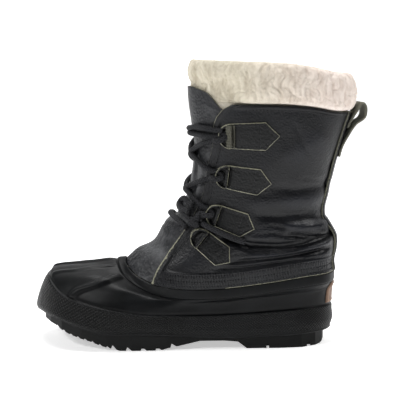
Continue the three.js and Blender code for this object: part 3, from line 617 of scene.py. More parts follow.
# %% [markdown]
# The rubber foot is modelled from the sole's edge up to the rim in fine loops. The band swells outward and
# ends in a step, a thin bead runs above the sole, five ribs fan over the toe, and the lip is a rounded
# strip that stands proud where the leather is sewn in. A rib's relief is a bell curve across its row.

# %% Rubber foot
def bell(distance, width):
    return np.exp(-((distance / width) ** 2))


def half_row(row):
    return np.where(row <= toe_row, row, rows_round - row)


def toe_row_width(level):
    """Width of one row in millimetres over the toe, where the rows draw together toward the lip."""
    return np.interp(level, [2.0, 3.0, 4.0, 5.0], [24.0, 17.0, 13.0, 12.0])


def rib_at(rows):
    return lambda level: np.interp(level, [2.0, 2.5, 3.1, 3.5, 4.2, 5.0], rows)


def mirrored(rows):
    return [rows_round - row for row in rows]


outer_rib = [7.82, 7.68, 7.52, 7.48, 7.6, 8.05]
middle_rib = [8.85, 8.8, 8.7, 8.6, 8.7, 9.0]
toe_ribs = [(rib_at(rows), 2.2, 2.0) for rows in (outer_rib, mirrored(outer_rib))]
toe_ribs += [(rib_at(rows), 1.2, 1.6) for rows in (middle_rib, mirrored(middle_rib))]
toe_ribs += [(rib_at([10.0] * 6), 2.0, 3.6)]


def rubber_lift(level, row):
    """Relief of the rubber foot over its smooth form, in millimetres."""
    side = half_row(row)
    band = band_step * (0.4 * step_up(level, 1.0, 1.6) + 0.6 * step_up(level, 1.5, 1.9))
    band = band * (1 - step_up(level, 1.95, 2.0)) * (1 - 0.7 * step_up(side, 8.3, 9.6))
    bead_level = 0.16 + 0.5 * step_up(side, 7.3, 8.4)
    bead = 0.8 * bell(level - bead_level, 0.045)
    recess = -0.5 * step_up(level, 1.99, 2.03) * (1 - step_up(level, 2.05, 2.25))
    lip = lip_step * step_up(level, 5.0, 5.1) - 0.9 * step_up(level, 5.88, 6.0) ** 2
    under_lip = -0.35 * bell(level - 4.97, 0.06)
    ribs = 0
    for rib_row, height, width in toe_ribs:
        across = (row - rib_row(level)) * toe_row_width(level)
        ribs = ribs + height * np.exp(-np.abs(across / width) ** 3)
    in_middle = step_up(side, 8.2, 8.5)
    soft_toe = -2.4 * bell(level - 2.2, 0.4) * step_up(side, 8.7, 9.7)
    fade = step_up(level, 1.98, mix(2.12, 2.9, in_middle)) * (1 - step_up(level, 4.6, 5.05))
    seam = -0.3 * bell(row - 3.72, 0.018) * step_up(level, 2.6, 2.9) * (1 - step_up(level, 4.6, 4.9))
    ripple = 0.25 * np.sin(row * 4.1 + level * 1.3) * np.sin(level * 2.2 + row * 1.7) * step_up(level, 2, 3)
    ripple = ripple * (1 - step_up(level, 4, 5))
    return band + bead + recess + lip + under_lip + ribs * fade + seam + soft_toe + ripple


def make_rubber_foot():
    around = 840
    row = np.arange(around) * rows_round / around
    levels = stretches((0, 1.9, 34), (1.93, 2.1, 9), (2.2, 4.85, 34), (4.9, 6, 26))
    grid_level, grid_row = np.meshgrid(levels, row, indexing="ij")
    outer = lifted(rubber_surface, grid_level, grid_row, rubber_lift(grid_level, grid_row))
    inner_levels = np.array([5.999, 5.95, 5.4, 4.9, 4.0, 3.0, 2.0, 1.0, 0.05])
    inner_lift = np.array([-0.2, -1.0, -1.6, -2.2, -2.5, -2.5, -2.5, -3.5, -3.0])
    inner = lifted(rubber_surface, inner_levels[:, None], row[None, :], inner_lift[:, None])
    points = np.concatenate([outer, inner])
    side = half_row(grid_row)
    in_band = step_up(grid_level, 0.3, 0.42) * (1 - step_up(grid_level, 1.86, 1.93))
    in_band = in_band * step_up(grid_level - 0.16 - 0.5 * step_up(side, 7.3, 8.4), 0.12, 0.2)
    strong = 0.45 + 0.55 * step_up(side, 4.6, 5.4) + 0.3 * (1 - step_up(side, 1.8, 2.6))
    knurl = np.concatenate([in_band * strong, np.zeros(inner.shape[:2])])
    return closed_skin("rubber_foot", points, {"knurl": knurl})


dress(make_rubber_foot(), "shell_rubber", [shell_rubber], "rubber_shell")

# %% [markdown]
# The outsole's solid already has the right outline, arch and lugs, so its node stays and only gets the
# duller rubber that a sole wears to. The board under the liner is never seen, but it is finished all the
# same.

# %% Sole and insole board
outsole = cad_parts["outsole"]
outsole.data.materials.clear()
outsole.data.materials.append(sole_rubber)


web_inset = 4.0
web_spans = ((-20.0, -82.0), (-170.0, -200.0))
web_low, web_high = 0.9, 9.0
station_reach, tread_top = 0.008, 0.012  # In metres, as the outsole's own mesh is.


def make_tread_web():
    """Solid rubber between the lugs, set in from the sole's sides, so that grooves end in the dark."""
    points, faces = [], []
    corners = np.array([vertex.co for vertex in outsole.data.vertices])
    sides = {}
    for x in np.ravel(web_spans):
        station = to_frame(np.array([[x, 0.0, 0.0]]))[0][0]
        near = corners[(np.abs(corners[:, 0] - station) < station_reach) & (corners[:, 2] < tread_top)]
        sides[x] = (1000 * near[:, 1].min() + web_inset, 1000 * near[:, 1].max() - web_inset)
    for span in web_spans:
        start = len(points)
        points += [(x, y, z) for z in (web_low, web_high) for x in span for y in sides[x]]
        box = [(0, 1, 3, 2), (4, 6, 7, 5), (0, 4, 5, 1), (2, 3, 7, 6), (0, 2, 6, 4), (1, 5, 7, 3)]
        faces += [[start + k for k in face] for face in box]
    return new_piece("tread_web", points, faces, smooth=False)


dress(make_tread_web(), "sole_rubber", [sole_rubber])


def make_board():
    board = new_material("needled_board")
    colour = blend_colours(board, noise(board, 3.0), "#7c6d58", "#94856c")
    return finish_material(board, Base_Color=colour, Roughness=0.9)


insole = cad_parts["insole"]
insole.data.materials.clear()
insole.data.materials.append(make_board())

# %% [markdown]
# The quarters wrap the ankle from one side of the throat round the heel to the other. Creases are placed
# as lines in the side view: each has a depth, or a height where it is a ridge, and a width, and pushes the
# leather in or out by a soft bell across the line.

# %% Where the quarters and the tongue stop
halvings = 34


def edge_row(surface_level, edge_up, edge_along):
    """The row, between the side and the toe, where a level meets a side view line given as along over up."""
    low = np.full_like(surface_level, 3.0)
    high = np.full_like(surface_level, 10.0)
    for _ in range(halvings):
        middle = (low + high) / 2
        point = shaft_surface(surface_level, middle)
        past = -point[..., 0] / foot_length > np.interp(point[..., 2] / shaft_height, edge_up, edge_along)
        high = np.where(past, middle, high)
        low = np.where(past, low, middle)
    return (low + high) / 2


def line_distance(x, z, line):
    """Distance of side view points from an open line, and where on it they are nearest, from 0 to 1."""
    best = np.full(x.shape, 1e9)
    share = np.zeros(x.shape)
    spans = len(line) - 1
    for k in range(spans):
        (x0, z0), (x1, z1) = line[k], line[k + 1]
        t = ((x - x0) * (x1 - x0) + (z - z0) * (z1 - z0)) / ((x1 - x0) ** 2 + (z1 - z0) ** 2)
        t = np.clip(t, 0, 1)
        distance = np.hypot(x - mix(x0, x1, t), z - mix(z0, z1, t))
        share = np.where(distance < best, (k + t) / spans, share)
        best = np.minimum(best, distance)
    return best, share


# %% [markdown]
# The deepest creases run across the ankle, where the shaft bends, and flatter waves lie above. On the inner
# side each drifts a little up or down, so that the two sides don't mirror. Sines add fine wrinkles.

# %% Creases of the shaft, as side view lines of (distance from the heel, height), with depth and width
shaft_creases = [
    (-5.2, 3.2, [(112, 116), (103, 112), (81, 106), (52, 104), (28, 107), (4, 112), (-6, 116)]),
    (-1.6, 1.8, [(95, 103), (70, 99), (45, 99), (25, 102)]),
    (2.4, 3.6, [(95, 92), (62, 95), (33, 100), (8, 106), (-4, 110)]),
    (-3.0, 2.3, [(112, 87), (81, 91), (47, 94), (15, 99), (0, 101)]),
    (-2.0, 1.8, [(120, 82), (91, 83), (52, 88), (26, 92)]),
    (-1.5, 5.0, [(70, 163), (38, 160), (10, 162), (-4, 165)]),
    (1.0, 6.0, [(96, 148), (58, 147), (18, 148), (-2, 150)]),
    (-2.0, 4.6, [(82, 135), (48, 134), (16, 135)]),
    (2.8, 4.2, [(52, 124), (33, 122), (10, 123), (-6, 125)]),
    (-3.4, 3.2, [(50, 115), (28, 113), (6, 112)]),
    (-0.5, 2.2, [(43, 230), (36, 216), (31, 204), (19, 183)]),
    (-0.9, 1.4, [(34, 171), (22, 169), (5, 167)]),
    (0.7, 9.0, [(60, 190), (30, 200), (5, 215)]),
]


def crease_lift(points, inner_side):
    x, z = -points[..., 0], points[..., 2]
    total = np.zeros(x.shape)
    for number, (depth, width, line) in enumerate(shaft_creases):
        drift = 3.0 * math.sin(number * 2.3)
        shifted = [(a, b + drift * inner_side) for a, b in line]
        distance, share = line_distance(x, z, shifted)
        ends = step_up(share, 0.0, 0.25) * (1 - step_up(share, 0.8, 1.0))
        total = total + depth * ends * bell(distance, width)
    y = points[..., 1]
    near_ankle = bell(z - 118, 26) * step_up(x, -20, 5) * (1 - step_up(x, 100, 135))
    small = np.sin(z * 0.85 + 1.6 * np.sin(x * 0.07 + y * 0.03) + 0.9 * np.sin(x * 0.19))
    small = small * np.sin(x * 0.06 + 1.1 * np.sin(z * 0.11) + y * 0.05)
    broad = 0.7 * np.sin(x * 0.075 + z * 0.043 + 0.8 * np.sin(z * 0.07)) * np.sin(z * 0.06 - x * 0.03)
    return total + 0.22 * small * near_ankle + broad


# %% [markdown]
# Along the throat the quarter is doubled by a facing, above the rubber runs a sewn strip, and the collar is
# turned over. Each is a small step in the skin. The cut edge at the throat keeps its pale fibre.

# %% Leather shaft
facing_width = 6.5
strip_height = 16.0
sewn_rows = (3.4, 8.6, 14.0)
facing_seam = 3.2
collar_seam = 9.7


def shaft_lift(level, row, edge_mm, rim_mm, points):
    lift = crease_lift(points, (row > toe_row) | (row < 0))
    facing = 1.0 * (1 - step_up(edge_mm, facing_width - 0.8, facing_width + 0.4))
    groove = -0.7 * bell(edge_mm - facing_width - 0.9, 0.9) - 0.3 * bell(edge_mm - facing_seam, 0.5)
    strip = 0.8 * (1 - step_up(rim_mm, strip_height - 0.5, strip_height + 0.7))
    rows_sewn = -0.3 * sum(bell(rim_mm - height, 0.6) for height in sewn_rows)
    collar = 0.7 * step_up(level, 9.72, 9.78) - 0.35 * bell(level - collar_seam, 0.03)
    calm = np.clip(edge_mm / 12, 0, 1) * step_up(rim_mm, 2, 18)
    round_over = -0.7 * (1 - step_up(edge_mm, 0.0, 1.2)) - 0.8 * step_up(level, 9.93, 10.0)
    return lift * calm + facing + groove + strip + rows_sewn + collar + round_over


def make_leather_shaft():
    wide = 250
    levels = stretches((0.03, 1.0, 24), (1.04, 4.4, 62), (4.5, 10, 64))
    quarter_edge = edge_row(levels, throat["up"], throat["along"])
    across = np.linspace(1, -1, wide)
    row = across[None, :] * quarter_edge[:, None]
    level = np.broadcast_to(levels[:, None], row.shape)
    smooth_form = shaft_surface(level, row)
    from_start = walked(smooth_form, 1)
    edge_mm = np.minimum(from_start, from_start[:, -1:] - from_start)
    rim_mm = walked(smooth_form)
    lift = shaft_lift(level, row, edge_mm, rim_mm, smooth_form)
    outer = lifted(shaft_surface, level, row, lift)
    inner = lifted(shaft_surface, level, row, np.minimum(lift, 0) * 0.4 - leather_wall)
    height = smooth_form[..., 2]
    worn_edge = 1 - 0.35 * step_up(height, 120, 150) + 0.3 * step_up(height, 215, 230)
    near_edge = np.exp(-edge_mm / (1.5 + 2.2 * (1 - step_up(height, 95, 125)))) * worn_edge
    near_edge = np.maximum(near_edge, np.exp(-rim_mm / 1.1) * (0.35 + 0.65 * (-smooth_form[..., 0] < 105)))
    tucks = (1 - step_up(rim_mm, strip_height - 2.5, strip_height - 1)) * step_up(rim_mm, 1.5, 3)
    tucks = tucks * step_up(edge_mm, 7, 9)
    tucks = tucks * (0.45 + 0.55 * np.abs(np.sin(math.pi * (rim_mm - sewn_rows[0]) / 5.3)))
    u = (from_start - from_start[:, -1:] / 2) * MM
    uv = np.stack([u, rim_mm * MM], -1)
    values = {"rise": crease_lift(smooth_form, False), "near_edge": near_edge, "tucks": tucks}
    return thick_sheet("leather_quarters", outer, inner, values, uv)


dress(make_leather_shaft(), "shaft_leather", [shaft_leather, raw_edge], "leather_shaft")

# %% [markdown]
# Vamp and tongue are one soft piece under the quarters. Below, it is stretched over the instep and scuffed;
# up the throat it folds lengthwise, and at the top its pebbled grain shows best.

# %% Tongue and vamp
tongue_back_up = np.concatenate([throat["up"][:-2] - 4 / shaft_height, tongue_top["up"]])
tongue_back_along = np.concatenate([throat["along"][:-2] - tongue_lap / foot_length, tongue_top["along"]])


def make_tongue():
    high, wide = 170, 130
    levels = np.linspace(0.04, 10.84, high)
    back_row = edge_row(levels, tongue_back_up, tongue_back_along)
    across = np.linspace(1, -1, wide)
    row = toe_row - across[None, :] * (toe_row - back_row[:, None])
    level = np.broadcast_to(levels[:, None], row.shape)
    form = shaft_surface(level, row)
    side = row - toe_row
    folds = 0
    for place, depth, width, low, top in [
        (-1.25, -1.3, 0.16, 4.3, 8.3),
        (-0.75, 1.0, 0.22, 4.6, 7.9),
        (1.15, -1.2, 0.18, 4.5, 8.2),
        (0.5, 0.9, 0.25, 4.2, 7.6),
        (-1.7, 0.8, 0.2, 4.9, 7.4),
    ]:
        there = step_up(level, low, low + 0.8) * (1 - step_up(level, top - 0.8, top))
        folds = folds + depth * there * bell(side - place - 0.12 * np.sin(level * 1.9), width)
    wrinkles = 0
    for depth, at, bow, width in [
        (-0.9, 3.9, 0.25, 0.16),
        (0.8, 3.4, 0.2, 0.25),
        (-0.6, 2.9, 0.3, 0.12),
        (0.5, 1.6, 0.0, 0.5),
    ]:
        wrinkles = wrinkles + depth * bell(level - at - bow * np.abs(side), width)
    in_front = step_up(-form[..., 0], 0.6 * foot_length, 0.66 * foot_length)
    lift = -leather_wall - clearance + 0.8 * (folds + wrinkles)
    lift = lift + 2.0 * in_front * (1 - step_up(level, 0.8, 2.2))
    outer = lifted(shaft_surface, level, row, lift)
    inner = lifted(shaft_surface, level, row, lift - tongue_wall)
    top_edge = np.exp(-np.linalg.norm(form - form[-1:], axis=-1) / 0.8) * 0.4
    return thick_sheet("tongue_and_vamp", outer, inner, {"rise": folds + wrinkles, "near_edge": top_edge})


dress(make_tongue(), "tongue_leather", [tongue_leather, raw_edge], "tongue")

# %% [markdown]
# The felt liner fills the boot. Only its inside shows, so a plain skin is enough; its loops follow the same
# two surfaces, a felt's thickness further in.

# %% Felt liner
felt_thickness = 6.5


def edge_height(x):
    share = np.clip(-x / foot_length, 0, 1)
    row = np.interp(share, foot["along"], np.arange(toe_row + 1))
    picks, weights = spline_weights(row, toe_row + 1, False)
    return (foot["edge"][picks] * weights).sum(-1) * rubber_height


def edge_loop(row, offset, rise):
    flat = normals(rubber_surface, 0.0, row) * np.array([1, 1, 0])
    points = rubber_surface(0.0, row) + unit(flat) * offset
    points[..., 2] = edge_height(points[..., 0]) + rise
    return points


def collar_loop(row, offset, rise):
    flat = normals(shaft_surface, 10.0, row) * np.array([1, 1, 0])
    points = shaft_surface(10.0, row) + unit(flat) * np.asarray(offset)[..., None]
    points[..., 2] += rise
    return points


def front_share(row):
    """From 0 at the sides and back to 1 in front, where the tongue lies between liner and quarters."""
    return step_up(half_row(row), 4.6, 5.7)


def make_liner():
    row = np.arange(160) / 8
    gap = rubber_wall + 1
    flange = leather_wall + 1.5 * clearance + front_share(row) * (tongue_wall + clearance)
    flange = flange + rubber_wall * 0.8 + 3 * clearance
    behind = leather_wall + tongue_wall + 3 * clearance
    keys = []
    for extra in (0.0, felt_thickness):
        def foot_loop(level, inset):
            flat = rubber_surface(level, row)
            return flat - normals(rubber_surface, level, row) * np.reshape(inset + extra, (-1, 1))

        def leg_loop(ring, inset):
            return lifted(shaft_surface, ring, row, -(inset + extra))

        bottom = 4 + clearance + extra
        loops = [edge_loop(row, -gap - 8 - extra * 0.6, bottom), edge_loop(row, -gap - 4 - extra, bottom + 5)]
        loops += [foot_loop(2.0, gap + 1), foot_loop(3.0, gap + 0.5), foot_loop(4.0, gap + 3)]
        loops += [foot_loop(5.0, flange + 1.8), leg_loop(0.001, flange), leg_loop(1.0, flange)]
        loops += [leg_loop(ring, behind + 0.4) for ring in (2, 3, 4, 5, 6.5, 8)]
        loops.append(collar_loop(row, -behind - 0.4 - extra + 0 * row, -clearance))
        keys += loops if extra == 0 else loops[::-1]
    points = np.array(keys)
    picks, weights = spline_weights(np.linspace(0, len(keys) - 1, 110), len(keys), False)
    points = np.einsum("li,lijk->ljk", weights, points[picks])
    high, wide = points.shape[:2]
    quads, corners = grid_quads(high, wide, True, False)
    uv = arc_map(points, True)
    ends = [list(range(wide))[::-1], [(high - 1) * wide + j for j in range(wide)]]
    piece = new_piece("felt_liner_skin", points.reshape(-1, 3), [*quads.tolist(), *ends])
    layer = piece.data.uv_layers.new(name="UVMap")
    flat_uv = uv[corners[..., 0], corners[..., 1]].reshape(-1, 2)
    flat_uv = np.concatenate([flat_uv, np.zeros((2 * wide, 2))])
    layer.data.foreach_set("uv", flat_uv.astype(np.float32).ravel())
    return piece


def make_felt():
    """Pressed wool felt: matt, slightly hairy, cream with greyish flecks."""
    felt = new_material("wool_felt")
    fleck = noise(felt, 1.6, 4.0, 0.7)
    colour = blend_colours(felt, fleck, "#b9b0a0", "#e2dccd")
    relief = bump(felt, noise(felt, 0.9, 4.0, 0.7), 0.3)
    return finish_material(
        felt, Base_Color=colour, Roughness=0.95, Normal=relief,
        Sheen_Weight=0.3, Sheen_Roughness=0.5,
    )


dress(make_liner(), "felt", [make_felt()], "felt_liner")

# %% [markdown]
# The cuff is wool pile, washed until it clumps. Each clump is a lock about six millimetres wide and three
# times as long, hanging down and waving a little. The locks are modelled in the skin of a soft ring over
# the collar: cells of a stretched Voronoi pattern swell up, and fall away at the lines between them. Loose
# fibres, laid by Geometry Nodes with a fixed seed, break up the outline.

# %% Body of the cuff
cuff_out = 7.0
cuff_wall = 17.0
cuff_rise = 38.0


def cuff_front(row):
    return step_up(half_row(row), 5.4, 6.8)


def cuff_loop(row, beside, in_front, rise_share):
    top = cuff_rise * (1 + 0.053 * (1 - np.cos(math.pi * half_row(row) / toe_row)))
    offset = mix(beside, in_front, cuff_front(row))
    return collar_loop(row, offset, mix(1.5, top, rise_share))


def make_cuff_body():
    row = np.arange(440) / 22
    behind = -leather_wall - tongue_wall - 4 * clearance
    inner = cuff_out - cuff_wall
    keys = [
        (0.5, behind, 0.0),
        (cuff_out * 0.75, behind, 0.14),
        (cuff_out * 0.95, behind + 0.5, 0.42),
        (cuff_out * 0.85, behind + 3, 0.7),
        (cuff_out * 0.3, behind + 1, 0.92),
        (-4.0, -8.0, 0.99),
        (inner, inner - 2, 0.85),
        (inner - 2, inner - 3, 0.4),
        (inner - 1, inner - 2, 0.0),
    ]
    loops = np.array([cuff_loop(row, beside, front, up) for beside, front, up in keys])
    picks, weights = spline_weights(np.arange(170) * len(keys) / 170, len(keys), True)
    points = np.einsum("li,lijk->ljk", weights, loops[picks])
    across, along = np.gradient(points, axis=1), np.gradient(points, axis=0)
    outward = unit(np.cross(along, across))
    where = arc_map(np.concatenate([points, points[:1]]), True)[: len(points), :-1] / MM
    swell = np.array([[lock_swell(u, v) for u, v in line] for line in where])
    shown = np.sin(math.pi * np.clip(np.arange(len(points)) / len(points) * 1.9, 0, 1)) ** 0.4
    points = points + outward * swell[..., None] * shown[:, None, None]
    return closed_skin("fleece_locks", points)


def lock_swell(u, v):
    """Height in millimetres of the locks over the cuff's ring, at a place on it in millimetres."""
    drift = Vector((u / 19, v / 13, 2.0))
    u, v = u + 5.0 * value_noise.noise(drift), v + 6.0 * value_noise.noise(drift + Vector((7, 3, 1)))
    nearest, _ = value_noise.voronoi(Vector((u / 6.2 + 0.12 * v / 6.2, v / 17.0, 0.5)))
    lock = min((nearest[1] - nearest[0]) * 1.7, 1.0)
    fine, _ = value_noise.voronoi(Vector((u / 2.3, v / 5.5, 8.5)))
    curl = min((fine[1] - fine[0]) * 1.5, 1.0)
    broad = value_noise.noise(Vector((u / 24, v / 20, 4.0)))
    return 2.2 * math.sqrt(max(lock, 0.0)) + 1.0 * curl + 1.5 * broad - 1.6


def new_tree(name, **inputs):
    """A geometry node group with named inputs, each given as the kind of its socket."""
    tree = bpy.data.node_groups.new(name, "GeometryNodeTree")
    tree.interface.new_socket("Geometry", in_out="INPUT", socket_type="NodeSocketGeometry")
    sockets = {}
    for label, kind in inputs.items():
        socket = tree.interface.new_socket(label, in_out="INPUT", socket_type=f"NodeSocket{kind}")
        sockets[label] = socket.identifier
    tree.interface.new_socket("Geometry", in_out="OUTPUT", socket_type="NodeSocketGeometry")
    return tree, sockets


def put_out(tree, geometry, given):
    """Makes the copies real, gives them their material and puts them out."""
    real = add_node(tree, "GeometryNodeRealizeInstances", Geometry=geometry)
    smooth = add_node(tree, "GeometryNodeSetShadeSmooth", Geometry=real.outputs[0])
    material = given["Material"]
    painted = add_node(tree, "GeometryNodeSetMaterial", Geometry=smooth.outputs[0], Material=material)
    add_node(tree, "NodeGroupOutput", Geometry=painted.outputs[0])


def bake(base, tree, sockets, values, name):
    """Runs a node tree on an object and returns the result as a plain mesh object; the base is removed."""
    modifier = base.modifiers.new("nodes", "NODES")
    modifier.node_group = tree
    for label, value in values.items():
        modifier[sockets[label]] = value
    result = base.evaluated_get(bpy.context.evaluated_depsgraph_get())
    mesh = bpy.data.meshes.new_from_object(result)
    mesh.name = name
    base.modifiers.remove(modifier)
    bpy.data.objects.remove(base)
    return put(name, mesh)


# %% [markdown]
# One wisp of wool is modelled, 1 mm long. Points are scattered over the cuff with a fixed seed, and each
# gets a copy that leans out and down, turned and scaled at random.

# %% Loose fibres of the pile
def make_fibre():
    """One curled wisp 1 mm long, from the origin along +Z."""
    sides, profile = 3, [(0.0, 0.08), (0.35, 0.08), (0.7, 0.05)]
    points, faces = [], []
    for up, radius in profile:
        for k in range(sides):
            turn = 2 * math.pi * k / sides
            points.append((radius * math.cos(turn) + 0.5 * up * up, radius * math.sin(turn), up))
    points.append((0.55, 0.1, 0.9))
    for ring in range(len(profile) - 1):
        for k in range(sides):
            a, b = ring * sides + k, ring * sides + (k + 1) % sides
            faces.append((a, b, b + sides, a + sides))
    last = (len(profile) - 1) * sides
    faces += [(last + k, last + (k + 1) % sides, len(points) - 1) for k in range(sides)]
    faces.append(tuple(range(sides))[::-1])
    mesh = bpy.data.meshes.new("fibre")
    mesh.from_pydata([tuple(c * MM for c in p) for p in points], [], faces)
    mesh.shade_smooth()
    return put("fibre", mesh)


def pile_tree():
    tree, sockets = new_tree(
        "lay_pile",
        Density="Float",
        Spacing="Float",
        Length="Float",
        Droop="Float",
        Fibre="Object",
        Material="Material",
        Seed="Int",
    )
    given = tree.nodes.new("NodeGroupInput").outputs
    scatter = add_node(
        tree,
        "GeometryNodeDistributePointsOnFaces",
        {"distribute_method": "POISSON"},
        Mesh=given["Geometry"],
        Distance_Min=given["Spacing"],
        Density_Max=given["Density"],
        Seed=given["Seed"],
    )
    wander = add_node(
        tree,
        "FunctionNodeRandomValue",
        {"data_type": "FLOAT_VECTOR"},
        at0=(-0.55, -0.55, -0.2),
        at1=(0.55, 0.55, 0.3),
    )
    down = add_node(tree, "ShaderNodeCombineXYZ", Z=given["Droop"])
    lean = scatter.outputs["Normal"]
    for push in (down, wander):
        add = {"operation": "ADD"}
        lean = add_node(tree, "ShaderNodeVectorMath", add, at0=lean, at1=push.outputs[0]).outputs[0]
    turn = add_node(tree, "FunctionNodeAlignRotationToVector", {"axis": "Z"}, Vector=lean)
    spin = add_node(tree, "FunctionNodeRandomValue", {"data_type": "FLOAT"}, at2=0.0, at3=6.28)
    spun = add_node(
        tree,
        "FunctionNodeRotateRotation",
        {"rotation_space": "LOCAL"},
        at0=turn.outputs[0],
        at1=add_node(tree, "ShaderNodeCombineXYZ", Z=spin.outputs[1]).outputs[0],
    )
    size = add_node(tree, "FunctionNodeRandomValue", {"data_type": "FLOAT"}, at2=0.65, at3=1.25)
    scale = times(tree, size.outputs[1], given["Length"])
    shape = add_node(tree, "GeometryNodeObjectInfo", Object=given["Fibre"])
    copies = add_node(
        tree,
        "GeometryNodeInstanceOnPoints",
        Points=scatter.outputs["Points"],
        Instance=shape.outputs["Geometry"],
        Rotation=spun.outputs[0],
        Scale=scale,
    )
    put_out(tree, copies.outputs[0], given)
    return tree, sockets


def make_fleece():
    """Washed wool pile: cream, turning lighter and pinker toward the heel as painted light on that side."""
    fleece = new_material("wool_fleece")
    where = add_node(fleece, "ShaderNodeTexCoord").outputs["Object"]
    along = add_node(fleece, "ShaderNodeSeparateXYZ", Vector=where).outputs["X"]
    # Painted light: toward the heel both tones are lighter and pinker, as if lit from that side.
    painted_light_toward_heel = ramp(fleece, along, 0.04, 0.13)
    lock = noise(fleece, 7.0, 4.0, 0.6, where, (1.0, 1.0, 0.35))
    light = blend_colours(fleece, painted_light_toward_heel, "#dad2bf", "#fbeee4")
    dark = blend_colours(fleece, painted_light_toward_heel, "#b9af9a", "#e2d1c5")
    colour = blend_colours(fleece, ramp(fleece, lock, 0.3, 0.6), dark, light)
    relief = bump(fleece, noise(fleece, 1.4, 5.0, 0.75, where, (1.0, 1.0, 0.5)), 0.9, 0.8)
    return finish_material(
        fleece, Base_Color=colour, Roughness=0.9, Normal=relief,
        Sheen_Weight=0.25, Sheen_Roughness=0.5, Specular_IOR_Level=0.2,
    )


fleece_material = make_fleece()
fibre = make_fibre()
lay_pile, pile_inputs = pile_tree()
cuff = dress(make_cuff_body(), "fleece", [fleece_material], "fleece_cuff")
under_fibres = put("under_fibres", cuff.data.copy())
fibres = bake(
    under_fibres,
    lay_pile,
    pile_inputs,
    {
        "Density": 160000.0,
        "Spacing": 1.7 * MM,
        "Length": 4.6,
        "Droop": -0.6,
        "Fibre": fibre,
        "Material": fleece_material,
        "Seed": 7,
    },
    "fleece_fibres",
)
bpy.data.objects.remove(fibre)
dress(fibres, "fleece", [])

# %% [markdown]
# Eight leather tabs are sewn to the quarters, each folded round the bar of a D-ring. A tab is drawn flat in
# its own plane and then laid on the leather: for each flat point, Newton steps find the place on the shaft
# that lies under it.

# %% Places of the tabs
tabs = columns(
    "along up tilt length half",
    [
        [0.336, 0.876, -1, 1.12, 1.0],
        [0.346, 0.711, 8, 1.02, 0.95],
        [0.378, 0.552, 19, 0.9, 0.9],
        [0.43, 0.453, 38, 0.84, 0.86],
    ],
)
tab_thickness = 2.2
tab_length = 40.0
tab_half_height = 12.0
ring_wire = 2.8
ring_half_height = 11.0
ring_reach = 11.0
newton_steps = 14
ring_height = clearance + tab_thickness + ring_wire / 2 + 0.5
tab_shoulder = 0.72
tab_cross_seam = 0.62
tab_seam_inset = 3.4


def tab_size(number):
    """Length and half height of a tab."""
    return tab_length * tabs["length"][number], tab_half_height * tabs["half"][number]


def find_on_shaft(start, targets, way_one, way_two):
    """Levels and rows of shaft points that lie at given distances along two directions."""
    level = np.full(len(targets), start[0], float)
    row = np.full(len(targets), start[1], float)
    ways = np.stack([way_one, way_two])
    step = 0.02
    for _ in range(newton_steps):
        here = shaft_surface(level, row) @ ways.T - targets
        by_level = (shaft_surface(level + step, row) @ ways.T - targets - here) / step
        by_row = (shaft_surface(level, row + step) @ ways.T - targets - here) / step
        det = by_level[:, 0] * by_row[:, 1] - by_row[:, 0] * by_level[:, 1]
        level = level - 0.8 * (here[:, 0] * by_row[:, 1] - by_row[:, 0] * here[:, 1]) / det
        row = row - 0.8 * (by_level[:, 0] * here[:, 1] - here[:, 0] * by_level[:, 1]) / det
    return level, row


def tab_place(number, side):
    goal = np.array([[-tabs["along"][number] * foot_length, tabs["up"][number] * shaft_height]])
    level, row = find_on_shaft((5, 6), goal, np.array([1.0, 0, 0]), np.array([0, 0, 1.0]))
    row = row if side < 0 else rows_round - row
    origin = shaft_surface(level, row)[0]
    n = normals(shaft_surface, level, row)[0]
    tilt = math.radians(tabs["tilt"][number])
    a = np.array([math.cos(tilt), 0, -math.sin(tilt)])
    a = unit(a - n * (a @ n))
    b = np.cross(n, a)
    return {"level": level[0], "row": row[0], "origin": origin, "a": a, "b": b, "n": n}


def on_tab(place, flat):
    """Level and row of the shaft under flat points of a tab."""
    targets = flat + np.array([place["origin"] @ place["a"], place["origin"] @ place["b"]])
    return find_on_shaft((place["level"], place["row"]), targets, place["a"], place["b"])


# %% [markdown]
# A tab's outline is an arch in front, where the ring is, and a blunt point behind. Rings of points run from
# its cut edge to its middle line, pressed in a little where the seams are.

# %% Tabs
def tab_outline(length, half):
    front = ring_reach + ring_wire
    turns = np.linspace(0, 1, 15)
    arc = np.stack([-front * np.sin(math.pi * turns), half * np.cos(math.pi * turns)], -1)
    shoulder, flare = length * tab_shoulder, half * 1.12
    back = np.array([[shoulder, -flare], [length, 0.0], [shoulder, flare]])
    return np.concatenate([arc, back])


def resampled(points, gap, closed=True):
    points = np.asarray(points, float)
    loop = np.concatenate([points, points[:1]]) if closed else points
    walk = walked(loop)
    count = max(int(round(walk[-1] / gap)), 3)
    at = np.linspace(0, walk[-1], count + 1)[: count if closed else None]
    return np.stack([np.interp(at, walk, loop[:, k]) for k in range(loop.shape[1])], -1)


